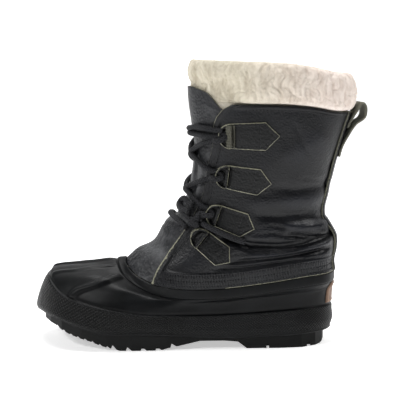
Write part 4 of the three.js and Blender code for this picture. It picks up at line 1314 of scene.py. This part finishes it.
def make_tab(name, place, length, half, wear):
    """Rings of points from the cut edge to the tab's middle line, laid on the shaft and given a thickness."""
    edge = resampled(tab_outline(length, half), 1.1)
    spine = np.stack([np.clip(edge[:, 0], 0, length * tab_shoulder), edge[:, 1] * 0], -1)
    shares = np.array([0.0, 0.0, 0.03, 0.08, 0.16, 0.3, 0.45, 0.6, 0.75, 0.9, 1.0])
    flat = np.array([mix(edge, spine, share) for share in shares])
    sunk = np.array([tab_thickness, 0.5, 0.1, 0, 0, 0, 0, 0, 0, 0, 0])
    high, wide = flat.shape[:2]
    level, row = on_tab(place, flat.reshape(-1, 2))
    box_line = (np.abs(flat[..., 0] - length * tab_cross_seam) < 0.9) * (np.abs(flat[..., 1]) < half)
    dent = 0.25 * box_line
    lift = clearance + tab_thickness - sunk[:, None] - dent
    edge_mm = np.linalg.norm(flat - edge[None], axis=-1)
    edge_mm[0] = 0
    stitch_line = -0.3 * bell(edge_mm - tab_seam_inset, 0.7)
    points = lifted(shaft_surface, level, row, (lift + stitch_line).ravel())
    quads, _ = grid_quads(high, wide, True, False)
    faces = [*quads.tolist(), list(range(wide))]
    fray = np.exp(-edge_mm / 0.9) * wear
    values = {"rise": 0 * fray, "near_edge": fray}
    piece = new_piece(name, points, [face[::-1] for face in faces], values=values)
    soft = bmesh.new()
    soft.from_mesh(piece.data)
    bmesh.ops.remove_doubles(soft, verts=soft.verts, dist=0.0004)
    soft.to_mesh(piece.data)
    soft.free()
    return piece


def placed(place, flat_points):
    flat = np.asarray(flat_points, float)
    a, b, n = place["a"], place["b"], place["n"]
    return place["origin"] + flat[..., :1] * a + flat[..., 1:2] * b + flat[..., 2:] * n


# %% [markdown]
# Wires, laces and rolled edges are all tubes. A tube is swept with frames that turn as little as possible
# from point to point, so that a braid on it doesn't twist.

# %% Tubes along a path
def smooth_path(points, gap, closed=False):
    points = np.asarray(points, float)
    count = len(points)
    dense = np.linspace(0, count if closed else count - 1, count * 16 + 1)
    picks, weights = spline_weights(dense[:-1] if closed else dense, count, closed)
    curve = np.einsum("li,lik->lk", weights, points[picks])
    return resampled(curve, gap, closed)


def tube_points(path, radius, sides, closed=False, squash=1.0):
    count = len(path)
    if closed:
        tangents = unit(np.roll(path, -1, 0) - np.roll(path, 1, 0))
    else:
        tangents = unit(np.gradient(path, axis=0))
    normal = unit(np.cross(tangents[0], [0.13, 0.31, 0.94]))
    rings = []
    radius = np.broadcast_to(radius, count)
    for k in range(count):
        normal = unit(normal - tangents[k] * (normal @ tangents[k]))
        other = np.cross(tangents[k], normal)
        turn = 2 * math.pi * np.arange(sides) / sides
        ring = np.outer(np.cos(turn), normal) + np.outer(np.sin(turn), other) * squash
        rings.append(path[k] + ring * radius[k])
    return np.array(rings)


def tube(name, path, radius, sides, closed=False, squash=1.0):
    rings = tube_points(path, radius, sides, closed, squash)
    high, wide = rings.shape[:2]
    quads, corners = grid_quads(high, wide, True, closed)
    gap = np.linalg.norm(np.diff(path, axis=0), axis=1).mean() * MM
    uv = np.stack([corners[..., 1] / wide, corners[..., 0] * gap], -1)
    faces = quads.tolist()
    if not closed:
        faces += [list(range(wide))[::-1], [(high - 1) * wide + j for j in range(wide)]]
        uv = np.concatenate([uv.reshape(-1, 2), np.zeros((2 * wide, 2))])
    return new_piece(name, rings.reshape(-1, 3), faces, uv)


def joined(name, pieces):
    """Several mesh objects made one."""
    for other in bpy.context.selected_objects:
        other.select_set(False)
    for piece in pieces:
        piece.select_set(True)
    bpy.context.view_layer.objects.active = pieces[0]
    bpy.ops.object.join()
    pieces[0].name = name
    pieces[0].data.name = name
    pieces[0].select_set(False)
    return pieces[0]


# %% [markdown]
# The rings are black enamelled wire, worn bare in specks, with a pale painted highlight along the outer
# side of the wire. Lace and thread share one braid: two sets of yarns cross round the cord, and each yarn is
# a small bump.

# %% Finishes of the hardware and the cords
def make_painted_steel():
    """Black enamelled wire: glossy, worn to bare metal in specks, and pale along the outer side of the wire
    as a painted highlight.
    """
    steel = new_material("black_painted_steel")
    specks = noise(steel, 2.5, 5.0, 0.7)
    bare_specks_and_painted_highlight = ramp(steel, plus(steel, specks, times(steel, attribute(steel, "outer_side"), 0.5)), 0.82, 0.98)
    colour = blend_colours(steel, bare_specks_and_painted_highlight, "#0e0f10", "#84836f")
    rough = plus(steel, times(steel, bare_specks_and_painted_highlight, 0.1), 0.32)
    return finish_material(steel, Base_Color=colour, Roughness=rough, Metallic=0.4)


def make_braid(name, dark, light, around, pitch):
    """Round braided polyester: two sets of yarns cross round the cord, and each yarn is a small bump."""
    braid = new_material(name)
    split = on_map(braid)
    turn = times(braid, split["X"], 2 * math.pi * around)
    run = times(braid, split["Y"], 2 * math.pi * per_size(pitch))
    left = maths(braid, "SINE", plus(braid, turn, run))
    right = maths(braid, "SINE", maths(braid, "SUBTRACT", turn, run))
    yarn = maths(braid, "MAXIMUM", left, right)
    fuzz = noise(braid, 1.0, 3.0)
    colour = blend_colours(braid, ramp(braid, yarn, -0.4, 1.0), dark, light)
    relief = bump(braid, yarn, 0.35, 0.9)
    relief = bump(braid, fuzz, 0.1, 0.5, relief)
    return finish_material(
        braid, Base_Color=colour, Roughness=0.78, Normal=relief,
        Specular_IOR_Level=0.35,
    )


painted_steel = make_painted_steel()
lace_braid = make_braid("black_braid", "#060607", "#1f2024", 5, 3.4)
thread_material = make_braid("waxed_thread", "#1c1d1e", "#3c3d40", 2, 1.2)

# %% [markdown]
# Each D-ring is bent wire, tipped up a little by the pull of the lace. The tab's end wraps its straight
# bar: the top pair in ribbed webbing, the others in a roll of the tab's own leather.

# %% Tabs and D-rings in place
ring_tip = math.radians(5)


def ring_path(half):
    turns = np.linspace(0, 1, 25)
    reach = ring_reach * np.sin(math.pi * turns)
    rise = ring_height + reach * math.sin(ring_tip)
    flat = np.stack([-reach * math.cos(ring_tip), half * np.cos(math.pi * turns), rise], -1)
    bar = np.stack([0 * turns[1:-1], np.linspace(-half, half, 25)[1:-1], ring_height + 0 * turns[1:-1]], -1)
    return np.concatenate([flat, bar])


def make_roll(name, place, half, ribbed):
    """The fold that holds the ring's bar: a flattened sleeve over the bar that runs back onto the tab."""
    widths = np.linspace(-half, half, 33)
    turn = np.linspace(-0.45 * math.pi, 1.15 * math.pi, 16)
    rows = []
    for k, at in enumerate(widths):
        rib = 0.35 * math.cos(2 * math.pi * k / 4) if ribbed else 0.12 * math.sin(k * 1.3)
        radius = ring_wire / 2 + 1.5 + rib
        reach = radius + (1.7 if ribbed else 0.0)
        rise = ring_height + radius * np.sin(turn - math.pi / 2) * 0.9
        sleeve = np.stack([-reach * np.cos(turn - math.pi / 2), at + 0 * turn, rise], -1)
        rows.append(sleeve[::-1])
    outer = placed(place, np.array(rows))
    middle = placed(place, np.array([[[0, at, ring_height]] for at in widths]))
    inner = mix(outer, middle, 0.3)
    last_line = np.linspace(0, 1, outer.shape[1])[None, :] + 0 * outer[..., 0]
    values = {"rise": 0 * last_line, "near_edge": bell(last_line - 0.62, 0.09) * (0 if ribbed else 1.05)}
    return thick_sheet(name, outer, inner, values)


def make_webbing(name, dark, light, rib):
    """Coarse olive webbing: raised ribs with a fine weave, paler on the high threads."""
    webbing = new_material(name)
    split = on_map(webbing)
    cloth = times(webbing, wave(webbing, split["X"], rib), wave(webbing, split["Y"], rib * 0.7))
    speck = noise(webbing, 1.5, 4.0, 0.7)
    amount = plus(webbing, ramp(webbing, cloth, -1.2, 1.6), times(webbing, speck, 0.4))
    colour = blend_colours(webbing, amount, dark, light)
    relief = bump(webbing, cloth, 0.25)
    relief = bump(webbing, speck, 0.15, 0.6, relief)
    return finish_material(webbing, Base_Color=colour, Roughness=0.88, Normal=relief)


olive_webbing = make_webbing("olive_webbing", "#1d1e18", "#67665a", 2.0)
# The pull loop's webbing is a paler grey copy of the olive webbing.
loop_webbing = make_webbing("pale_grey_webbing", "#3f4038", "#8f8f80", 2.0)
places = {}
for side, side_name in ((-1, "outer"), (1, "inner")):
    for number in range(len(tabs["along"])):
        label = f"{side_name}_{number + 1}"
        place = places[(side, number)] = tab_place(number, side)
        length, half = tab_size(number)
        wear = [1.0, 1.12, 1.2, 1.15][number]
        plate = make_tab(f"plate_{label}", place, length, half, wear)
        plate.data.materials.append(tab_leather)
        roll = make_roll(f"roll_{label}", place, half * (0.88 if number == 0 else 0.72), number == 0)
        roll.data.materials.append(olive_webbing if number == 0 else tab_leather)
        tab = joined(f"lace_tab_{label}", [plate, roll])
        dress(tab, "tab_leather", [], f"tab_{label}")
        wire = resampled(placed(place, ring_path(ring_half_height * tabs["half"][number])), 1.2)
        ring = tube(f"wire_ring_{label}", wire, ring_wire / 2 * 0.86, 12, closed=True)
        # The outer side of the wire, which faces away from the ring's middle, gets the pale painted
        # highlight.
        centre = placed(place, [[-ring_reach * 0.4, 0, 0]])[0]
        points = np.array([v.co for v in ring.data.vertices]) / MM - np.array([heel_from_middle, 0, 0])
        outward = unit(points - centre)
        facing = np.array([v.normal for v in ring.data.vertices])
        layer = ring.data.attributes.new("outer_side", "FLOAT", "POINT")
        layer.data.foreach_set("value", np.clip((facing * outward).sum(1), 0, 1).astype(np.float32))
        dress(ring, "ring_metal", [painted_steel], f"d_ring_{label}")

# %% [markdown]
# The lace is a round black braid. It crosses the tongue in two bars at the top, then zigzags down, going
# under the bow of each D-ring and back over it. Below the third pair it is tied in a half bow: one loop and
# two ends. The bow's points are chosen and are the same as the solids'.

# %% Lace through the D-rings
lace_diameter = 5.5
lace_low = lace_diameter / 2 - leather_wall + 2.5 * clearance - 0.4
lace_high = lace_diameter / 2 + 2 * clearance


def ring_stop(number, side, beside=0.0):
    reach = ring_reach + ring_wire + 2.5
    level, row = on_tab(places[(side, number)], np.array([[-reach, beside]]))
    return level[0], row[0] if row[0] > 0 else row[0] + rows_round


def strand(start, end, climb=0.0):
    """Points of a strand between two places by the rings, over the quarters' edges and the tongue."""
    points = []
    for t in (0.0, 0.1, 0.22, 0.36, 0.5, 0.64, 0.78, 0.9, 1.0):
        level = mix(start[0], end[0], t) + climb * (1 - (2 * t - 1) ** 4)
        row = mix(start[1], end[1], t)
        near = 1 - step_up(abs(toe_row - row), 1.6, 2.2)
        points.append(lifted(shaft_surface, level, row, mix(lace_high, lace_low, float(near))))
    return points


def round_ring(number, side, enter, leave):
    """Points that take a strand under the bow of a D-ring, up inside it and back over the bow."""
    flat = [
        (-ring_reach - 1.5, enter, 3.0),
        (-ring_reach + 3.6, mix(enter, leave, 0.2), 3.4),
        (-ring_reach + 6.4, mix(enter, leave, 0.5), 5.2),
        (-ring_reach + 3.8, mix(enter, leave, 0.85), 8.0),
        (-ring_reach - 0.4, leave, 8.9),
        (-ring_reach - 4.6, leave, 6.2),
    ]
    return list(placed(places[(side, number)], flat))


def lace_limb(side):
    """One half of the lace, from the top ring on one side down to the third ring on the other or the same."""
    points = round_ring(0, side, 4.0, -4.0)
    for number in (0, 1):
        start = ring_stop(number, side, -4.0)
        side = -side
        points += strand(start, ring_stop(number + 1, side, 3.0))
        points += round_ring(number + 1, side, 3.0, -3.0)
    return points


knot_place = [-136.5, -41.0, 128.0]
outer_limb = lace_limb(-1)
outer_limb += [[-131.5, -42.0, 135.5], [-134.0, -42.0, 131.5], knot_place]
inner_limb = lace_limb(1)
last = ring_stop(2, 1, -3.0)
inner_limb += strand(last, (4.2, 8.2)) + [[-141.0, -35.0, 131.0], [-138.5, -38.5, 129.0]]
upper = [ring_stop(0, -1, 5.5), ring_stop(0, 1, 5.5)]
lower = [ring_stop(0, -1, -1.0), ring_stop(0, 1, -1.0)]
bars = []
for (start, end), climb, beside in ((upper, 0.22, 5.5), (lower, 0.02, -1.0)):
    first = placed(places[(-1, 0)], [(-ring_reach + 3.5, beside, 4.6), (-ring_reach - 1.5, beside, 4.2)])
    final = placed(places[(1, 0)], [(-ring_reach - 1.5, beside, 4.2), (-ring_reach + 3.5, beside, 4.6)])
    bars.append([*first, *strand(start, end, climb), *final])
lace_parts = []
for number, route in enumerate([outer_limb, inner_limb, *bars]):
    path = smooth_path(np.array(route, float), 1.6)
    lace_parts.append(tube(f"lace_part_{number}", path, lace_diameter / 2 * 0.96, 14))
    print("lace strand", number, round(np.linalg.norm(np.diff(path, axis=0), axis=1).sum()), "mm")
dress(joined("lace_through_rings", lace_parts), "lace_cord", [lace_braid], "lace_crossings")

# %% [markdown]
# The knot, the loop and the two ends are pieces of their own. The loop and the ends are tubes of the lace's
# thickness along their middle lines.

# %% Half bow
knot_turns = [
    [[-138.7, -36.2, 132.4], [-136.2, -39.9, 127.7], [-132.9, -44.0, 123.6]],
    [[-141.1, -39.0, 124.3], [-136.1, -41.5, 129.7], [-130.2, -41.6, 130.8]],
]
loop_points = [
    [-141.2, -38.8, 137.2],
    [-145.0, -32.6, 138.2],
    [-150.0, -24.9, 140.2],
    [-150.9, -20.8, 145.4],
    [-146.6, -24.4, 148.8],
    [-142.2, -30.9, 145.0],
    [-137.9, -37.3, 143.0],
]
outer_end_points = [
    [-127.4, -44.6, 127.0],
    [-124.2, -46.8, 125.2],
    [-118.3, -49.0, 122.6],
    [-111.5, -49.8, 119.4],
    [-104.6, -50.2, 116.3],
    [-95.9, -49.1, 112.4],
    [-86.3, -47.4, 109.2],
]
inner_end_points = [
    [-144.3, -36.3, 121.9],
    [-148.6, -29.2, 124.9],
    [-156.4, -17.3, 128.6],
    [-162.4, 0.0, 130.6],
    [-160.8, 13.9, 128.7],
    [-158.2, 23.6, 122.6],
    [-160.3, 27.6, 113.1],
    [-168.4, 26.4, 102.7],
]


def make_knot():
    """Two fat turns of the cord drawn tight over each other, and a third under them."""
    turns = []
    third = [[-139.8, -41.0, 129.8], [-135.6, -43.2, 126.0], [-131.0, -45.0, 126.2]]
    for number, points in enumerate([*knot_turns, third]):
        path = smooth_path(np.array(points), 1.0)
        share = np.linspace(-1, 1, len(path))
        radius = lace_diameter / 2 * 1.15 * np.sqrt(np.clip(1.02 - 0.75 * np.abs(share) ** 6, 0.1, 1))
        turns.append(tube(f"turn_{number}", path, radius, 14))
    return joined("half_bow_knot", turns)


def make_cord(name, points, exit_point, far_end, *nodes):
    path = smooth_path(np.array(points), 1.0)
    piece = dress(tube(name, path, lace_diameter / 2, 14), "lace_cord", [lace_braid], *nodes)
    return piece


dress(make_knot(), "lace_cord", [lace_braid], "lace_knot")
make_cord("lace_loop_cord", loop_points, loop_points[0], "object", "lace_loop")
make_cord("outer_lace_end", outer_end_points, outer_end_points[0], "bare", "lace_end_outer")
make_cord("inner_lace_end", inner_end_points, inner_end_points[0], "bare", "lace_end_inner")

# %% [markdown]
# A stay runs up the back seam, and its top is a pull loop that stands off the collar. Both are narrow
# straps: the stay lies on the shaft's own surface, and the loop follows a side view path.

# %% Back strip and pull loop
strip_width = 24.0
strip_thickness = 2.4
crease_share = 0.36
loop_back = 17.0
loop_width = 19.0


def make_back_stay():
    high, wide = 120, 21
    levels = np.linspace(0.05, 10.0, high)
    across = np.linspace(-strip_width / 2, strip_width / 2, wide)
    row = np.zeros((high, wide))
    for i, level in enumerate(levels):
        rows = np.linspace(-2, 2, 81)
        y = shaft_surface(level, rows)[:, 1]
        row[i] = np.interp(-across, -y, rows) if y[0] > y[-1] else np.interp(across, y, rows)
    level = np.broadcast_to(levels[:, None], row.shape)
    form = shaft_surface(level, row)
    edge_mm = strip_width / 2 - np.abs(across)[None, :] + 0 * row
    lift = clearance + strip_thickness - 1.2 * (1 - step_up(edge_mm, 0, 1.0))
    lift = lift - 0.35 * bell(edge_mm - 2.6, 0.6)
    lift = lift + crease_share * crease_lift(form, False) * step_up(edge_mm, -1, 4)
    outer = lifted(shaft_surface, level, row, lift)
    inner = lifted(shaft_surface, level, row, clearance * 0.5)
    near = np.exp(-edge_mm / 0.7) * 0.75
    return thick_sheet("back_stay", outer, inner, {"rise": 0 * near, "near_edge": near})


def make_pull_loop():
    low = shaft_surface(7.7, 0.0)
    top = shaft_surface(10.0, 0.0)
    out = clearance + strip_thickness / 2
    side_path = np.array([
        [low[0] + out - 0.3, low[2] - 8],
        [low[0] + out + 2.6, low[2] + 2],
        [low[0] + loop_back * 0.55, low[2] + 12],
        [low[0] + loop_back, low[2] + 24],
        [top[0] + loop_back * 0.88, top[2] - 6],
        [top[0] + loop_back * 0.97, top[2] + 3],
        [top[0] + loop_back * 0.82, top[2] + 8],
        [top[0] + loop_back * 0.66, top[2] + 7],
        [top[0] + loop_back * 0.5, top[2] + 2],
        [top[0] + loop_back * 0.27, top[2] - 4],
        [top[0] + out - 0.6, top[2] - 10],
        [top[0] + out - 3.4, top[2] - 16],
    ])
    path = smooth_path(side_path, 1.2)
    run = unit(np.gradient(path, axis=0))
    away = np.stack([run[:, 1], -run[:, 0]], -1)
    across = np.linspace(-loop_width / 2, loop_width / 2, 15)
    edge = np.clip((loop_width / 2 - np.abs(across)) / 1.2, 0, 1)
    thick = strip_thickness / 2 * (0.55 + 0.45 * edge)
    walk = np.linspace(0, 1, len(path))
    turn = 0.24 * step_up(walk, 0.05, 0.35) * (1 - step_up(walk, 0.8, 0.98))
    skins = []
    for way in (1, -1):
        offset = path[:, None, :] + way * away[:, None, :] * thick[None, :, None]
        sideways = -turn[:, None] * (across[None, :] + loop_width / 2)
        offset = offset + np.stack([sideways, 0 * sideways], -1)
        skins.append(np.stack([offset[..., 0], across[None, :] + 0 * offset[..., 0], offset[..., 1]], -1))
    values = {"rise": np.zeros(skins[0].shape[:2]), "near_edge": np.zeros(skins[0].shape[:2])}
    return thick_sheet("pull_loop", skins[1], skins[0], values)


stay = make_back_stay()
stay.data.materials.append(shaft_leather)
stay.data.materials.append(raw_edge)
pull = make_pull_loop()
pull.data.materials.append(loop_webbing)
pull.data.materials.append(loop_webbing)
dress(joined("back_stay_and_loop", [stay, pull]), "webbing", [], "back_strip")

# %% [markdown]
# On the heel sits a small moulded patch. It is blank, with a plain raised border, and it bends with the
# rubber.

# %% Heel patch
patch_width = 31.0
patch_height = 22.0
patch_thickness = 1.3


def make_patch_leather():
    patch = new_material("brown_patch_leather")
    cloud = noise(patch, 5.0, 4.0, 0.65)
    rise = attribute(patch, "rise")
    colour = blend_colours(patch, cloud, "#5b4334", "#8f7059")
    colour = blend_colours(patch, times(patch, rise, 0.5), colour, "#b09078")
    relief = bump(patch, noise(patch, 0.8, 3.0), 0.15)
    return finish_material(patch, Base_Color=colour, Roughness=0.55, Normal=relief)


def make_heel_patch():
    high, wide = 45, 73
    middle = 0.655 * rubber_height
    low_z, top_z = middle - patch_height / 2, middle + patch_height / 2
    levels = np.linspace(2.02, 4.7, 400)
    heights = rubber_surface(levels, 0.0)[:, 2]
    level_line = np.interp(np.linspace(low_z, top_z, high), heights, levels)
    rows = np.linspace(-3, 3, 241)
    row = np.zeros((high, wide))
    across = np.linspace(-patch_width / 2, patch_width / 2, wide)
    for i, level in enumerate(level_line):
        y = rubber_surface(level, rows)[:, 1]
        row[i] = np.interp(across, y[::-1], rows[::-1])
    level = np.broadcast_to(level_line[:, None], row.shape)
    up = np.linspace(-patch_height / 2, patch_height / 2, high)
    edge_mm = np.minimum(patch_width / 2 - np.abs(across)[None, :], patch_height / 2 - np.abs(up)[:, None])
    border = bell(edge_mm - 2.2, 0.7)
    lift = clearance + patch_thickness - 0.9 * (1 - step_up(edge_mm, 0, 0.9)) + 0.45 * border
    outer = lifted(rubber_surface, level, row, lift)
    inner = lifted(rubber_surface, level, row, -0.4)
    return thick_sheet("blank_heel_patch", outer, inner, {"rise": border})


brown = make_patch_leather()
patch = make_heel_patch()
dress(patch, "patch_leather", [brown, brown], "heel_patch")

# %% [markdown]
# Stitches are the same small capsule again and again along a seam, so Geometry Nodes lays them: a curve is
# resampled to the stitch length, and a capsule is put on every point, turned along the seam.

# %% Stitches
def stitch_tree():
    tree, sockets = new_tree(
        "sew_seam", Pitch="Float", Length="Float", Thickness="Float", Material="Material"
    )
    given = tree.nodes.new("NodeGroupInput").outputs
    curve = add_node(tree, "GeometryNodeMeshToCurve", Mesh=given["Geometry"])
    by_length = {"mode": "LENGTH"}
    pitch = given["Pitch"]
    even = add_node(tree, "GeometryNodeResampleCurve", by_length, Curve=curve.outputs[0], Length=pitch)
    tangent = add_node(tree, "GeometryNodeInputTangent")
    turn = add_node(tree, "FunctionNodeAlignRotationToVector", {"axis": "Z"}, Vector=tangent.outputs[0])
    grain = add_node(tree, "GeometryNodeMeshUVSphere", Segments=6, Rings=5, Radius=1.0)
    round_size = add_node(
        tree, "ShaderNodeCombineXYZ", X=given["Thickness"], Y=given["Thickness"], Z=given["Length"]
    )
    copies = add_node(
        tree,
        "GeometryNodeInstanceOnPoints",
        Points=even.outputs[0],
        Instance=grain.outputs[0],
        Rotation=turn.outputs[0],
        Scale=round_size.outputs[0],
    )
    put_out(tree, copies.outputs[0], given)
    return tree, sockets


sew_seam, seam_inputs = stitch_tree()


def seam_lines(name, lines):
    points, edges = [], []
    for line in lines:
        start = len(points)
        points += to_frame(line).tolist()
        edges += [(start + k, start + k + 1) for k in range(len(line) - 1)]
    mesh = bpy.data.meshes.new(name)
    mesh.from_pydata(points, edges, [])
    return put(name, mesh)


def throat_seam(inset, lift):
    """A seam that follows the quarter's front edge at a distance, on both sides."""
    levels = np.linspace(0.5, 9.95, 150)
    edge = edge_row(levels, throat["up"], throat["along"])
    step = 0.2
    per_row = np.linalg.norm(shaft_surface(levels, edge) - shaft_surface(levels, edge - step), axis=-1) / step
    lines = []
    for side in (-1, 1):
        row = edge - inset / per_row
        row = row if side < 0 else rows_round - row
        lines.append(lifted(shaft_surface, levels, row, lift))
    return lines


def ring_seam(level_of, lift):
    """A seam round the shaft from one quarter's edge to the other at one level."""
    share = np.linspace(1, -1, 260)
    level = np.full(260, float(level_of))
    edge = edge_row(level, throat["up"], throat["along"]) - 0.25
    return lifted(shaft_surface, level, share * edge, lift)


def rim_seam(height):
    """A seam a given distance above the rubber's rim."""
    row = np.linspace(-6.9, 6.9, 300)
    levels = np.linspace(0, 2.5, 60)
    heights = shaft_surface(levels[:, None], row[None, :])
    climb = walked(heights)
    level = np.array([np.interp(height, climb[:, k], levels) for k in range(300)])
    inside = np.abs(row) < edge_row(level, throat["up"], throat["along"]) - 0.1
    return lifted(shaft_surface, level, row, 0.65)[inside]


def tab_seam(place, length, half):
    outline = resampled(tab_outline(length, half), 1.0)
    middle = np.array([length * 0.35, 0.0])
    inset = outline + unit(middle - outline) * tab_seam_inset
    inset = inset[inset[:, 0] > ring_wire / 2 + 4.0]
    across = np.array([[length * tab_cross_seam, y] for y in np.linspace(-half * 0.8, half * 0.8, 20)])
    lines = []
    for flat in (inset, across):
        level, row = on_tab(place, flat)
        lines.append(lifted(shaft_surface, level, row, clearance + tab_thickness - 0.1))
    return lines


seams = throat_seam(facing_seam, 0.55) + throat_seam(facing_width + 2.2, 0.05)
seams += [ring_seam(collar_seam, 0.15)]
seams += [rim_seam(height) for height in sewn_rows]
for (side, number), place in places.items():
    seams += tab_seam(place, *tab_size(number))
stitches = bake(
    seam_lines("seams", seams),
    sew_seam,
    seam_inputs,
    {"Pitch": 3.4 * MM, "Length": 1.35 * MM, "Thickness": 0.42 * MM, "Material": thread_material},
    "seam_stitches",
)
dress(stitches, "shaft_leather", [])

# %% [markdown]
# The floor is plain and pale and runs up behind the boot, as a paper sweep does. Four soft lights do the
# rest: a broad one above, one from the upper left that draws the shine on the leather, a weak one low on
# the left, and one from the right. The world is white behind the boot and dim in front, so that black
# rubber stays black.

# %% Floor, lights and world
def make_paper():
    paper = new_material("white_paper")
    return finish_material(
        paper, Base_Color=linear("#ffffff"), Roughness=0.9,
        Emission_Color=linear("#ffffff"), Emission_Strength=0.5,
    )


def make_sweep():
    wide, deep, bend, high = 6.0, 2.0, 0.8, 3.0
    profile = [(-3.0, 0.0), (deep - bend, 0.0)]
    turns = np.linspace(0.1, math.pi / 2, 12)
    profile += [(deep - bend + bend * math.sin(t), bend - bend * math.cos(t)) for t in turns]
    profile.append((deep, high))
    points = [(x, y, z) for x in (-wide / 2, wide / 2) for y, z in profile]
    count = len(profile)
    faces = [(k, k + 1, count + k + 1, count + k) for k in range(count - 1)]
    mesh = bpy.data.meshes.new("paper_sweep")
    mesh.from_pydata([(x, y, z - 0.0002) for x, y, z in points], [], [f[::-1] for f in faces])
    mesh.materials.append(make_paper())
    mesh.shade_smooth()
    return put("paper_sweep", mesh)


make_sweep()


lit_point = Vector((0, 0, 0.12))


def soft_light(name, place, size, watts):
    light = bpy.data.lights.new(name, "AREA")
    light.shape = "DISK"
    light.size = size
    light.energy = watts
    lamp = put(name, light)
    lamp.location = place
    lamp.rotation_mode = "QUATERNION"
    lamp.rotation_quaternion = (lit_point - Vector(place)).to_track_quat("-Z", "Y")


soft_light("overhead", (-0.15, 0.25, 1.5), 0.8, 14.0)
soft_light("upper_left", (-1.0, -1.0, 1.3), 0.4, 12.0)
soft_light("low_left", (-1.6, -0.6, 0.5), 0.5, 2.5)
soft_light("right", (0.9, -0.15, 1.3), 0.5, 8.0)

world = bpy.data.worlds.new("studio")
world.use_nodes = True
background = world.node_tree.nodes["Background"]
direction = add_node(world, "ShaderNodeTexCoord").outputs["Generated"]
back_way = add_node(world, "ShaderNodeSeparateXYZ", Vector=direction).outputs["Y"]
behind = add_node(
    world, "ShaderNodeMapRange", Value=back_way, From_Min=0.15, From_Max=0.75, To_Min=0.04, To_Max=1.0
)
seen = add_node(world, "ShaderNodeLightPath").outputs["Is Camera Ray"]
shown = maths(world, "MAXIMUM", behind.outputs[0], seen)
world.node_tree.links.new(shown, background.inputs["Strength"])
background.inputs["Color"].default_value = linear("#ffffff")
bpy.context.scene.world = world
bpy.context.scene.view_settings.view_transform = "Standard"
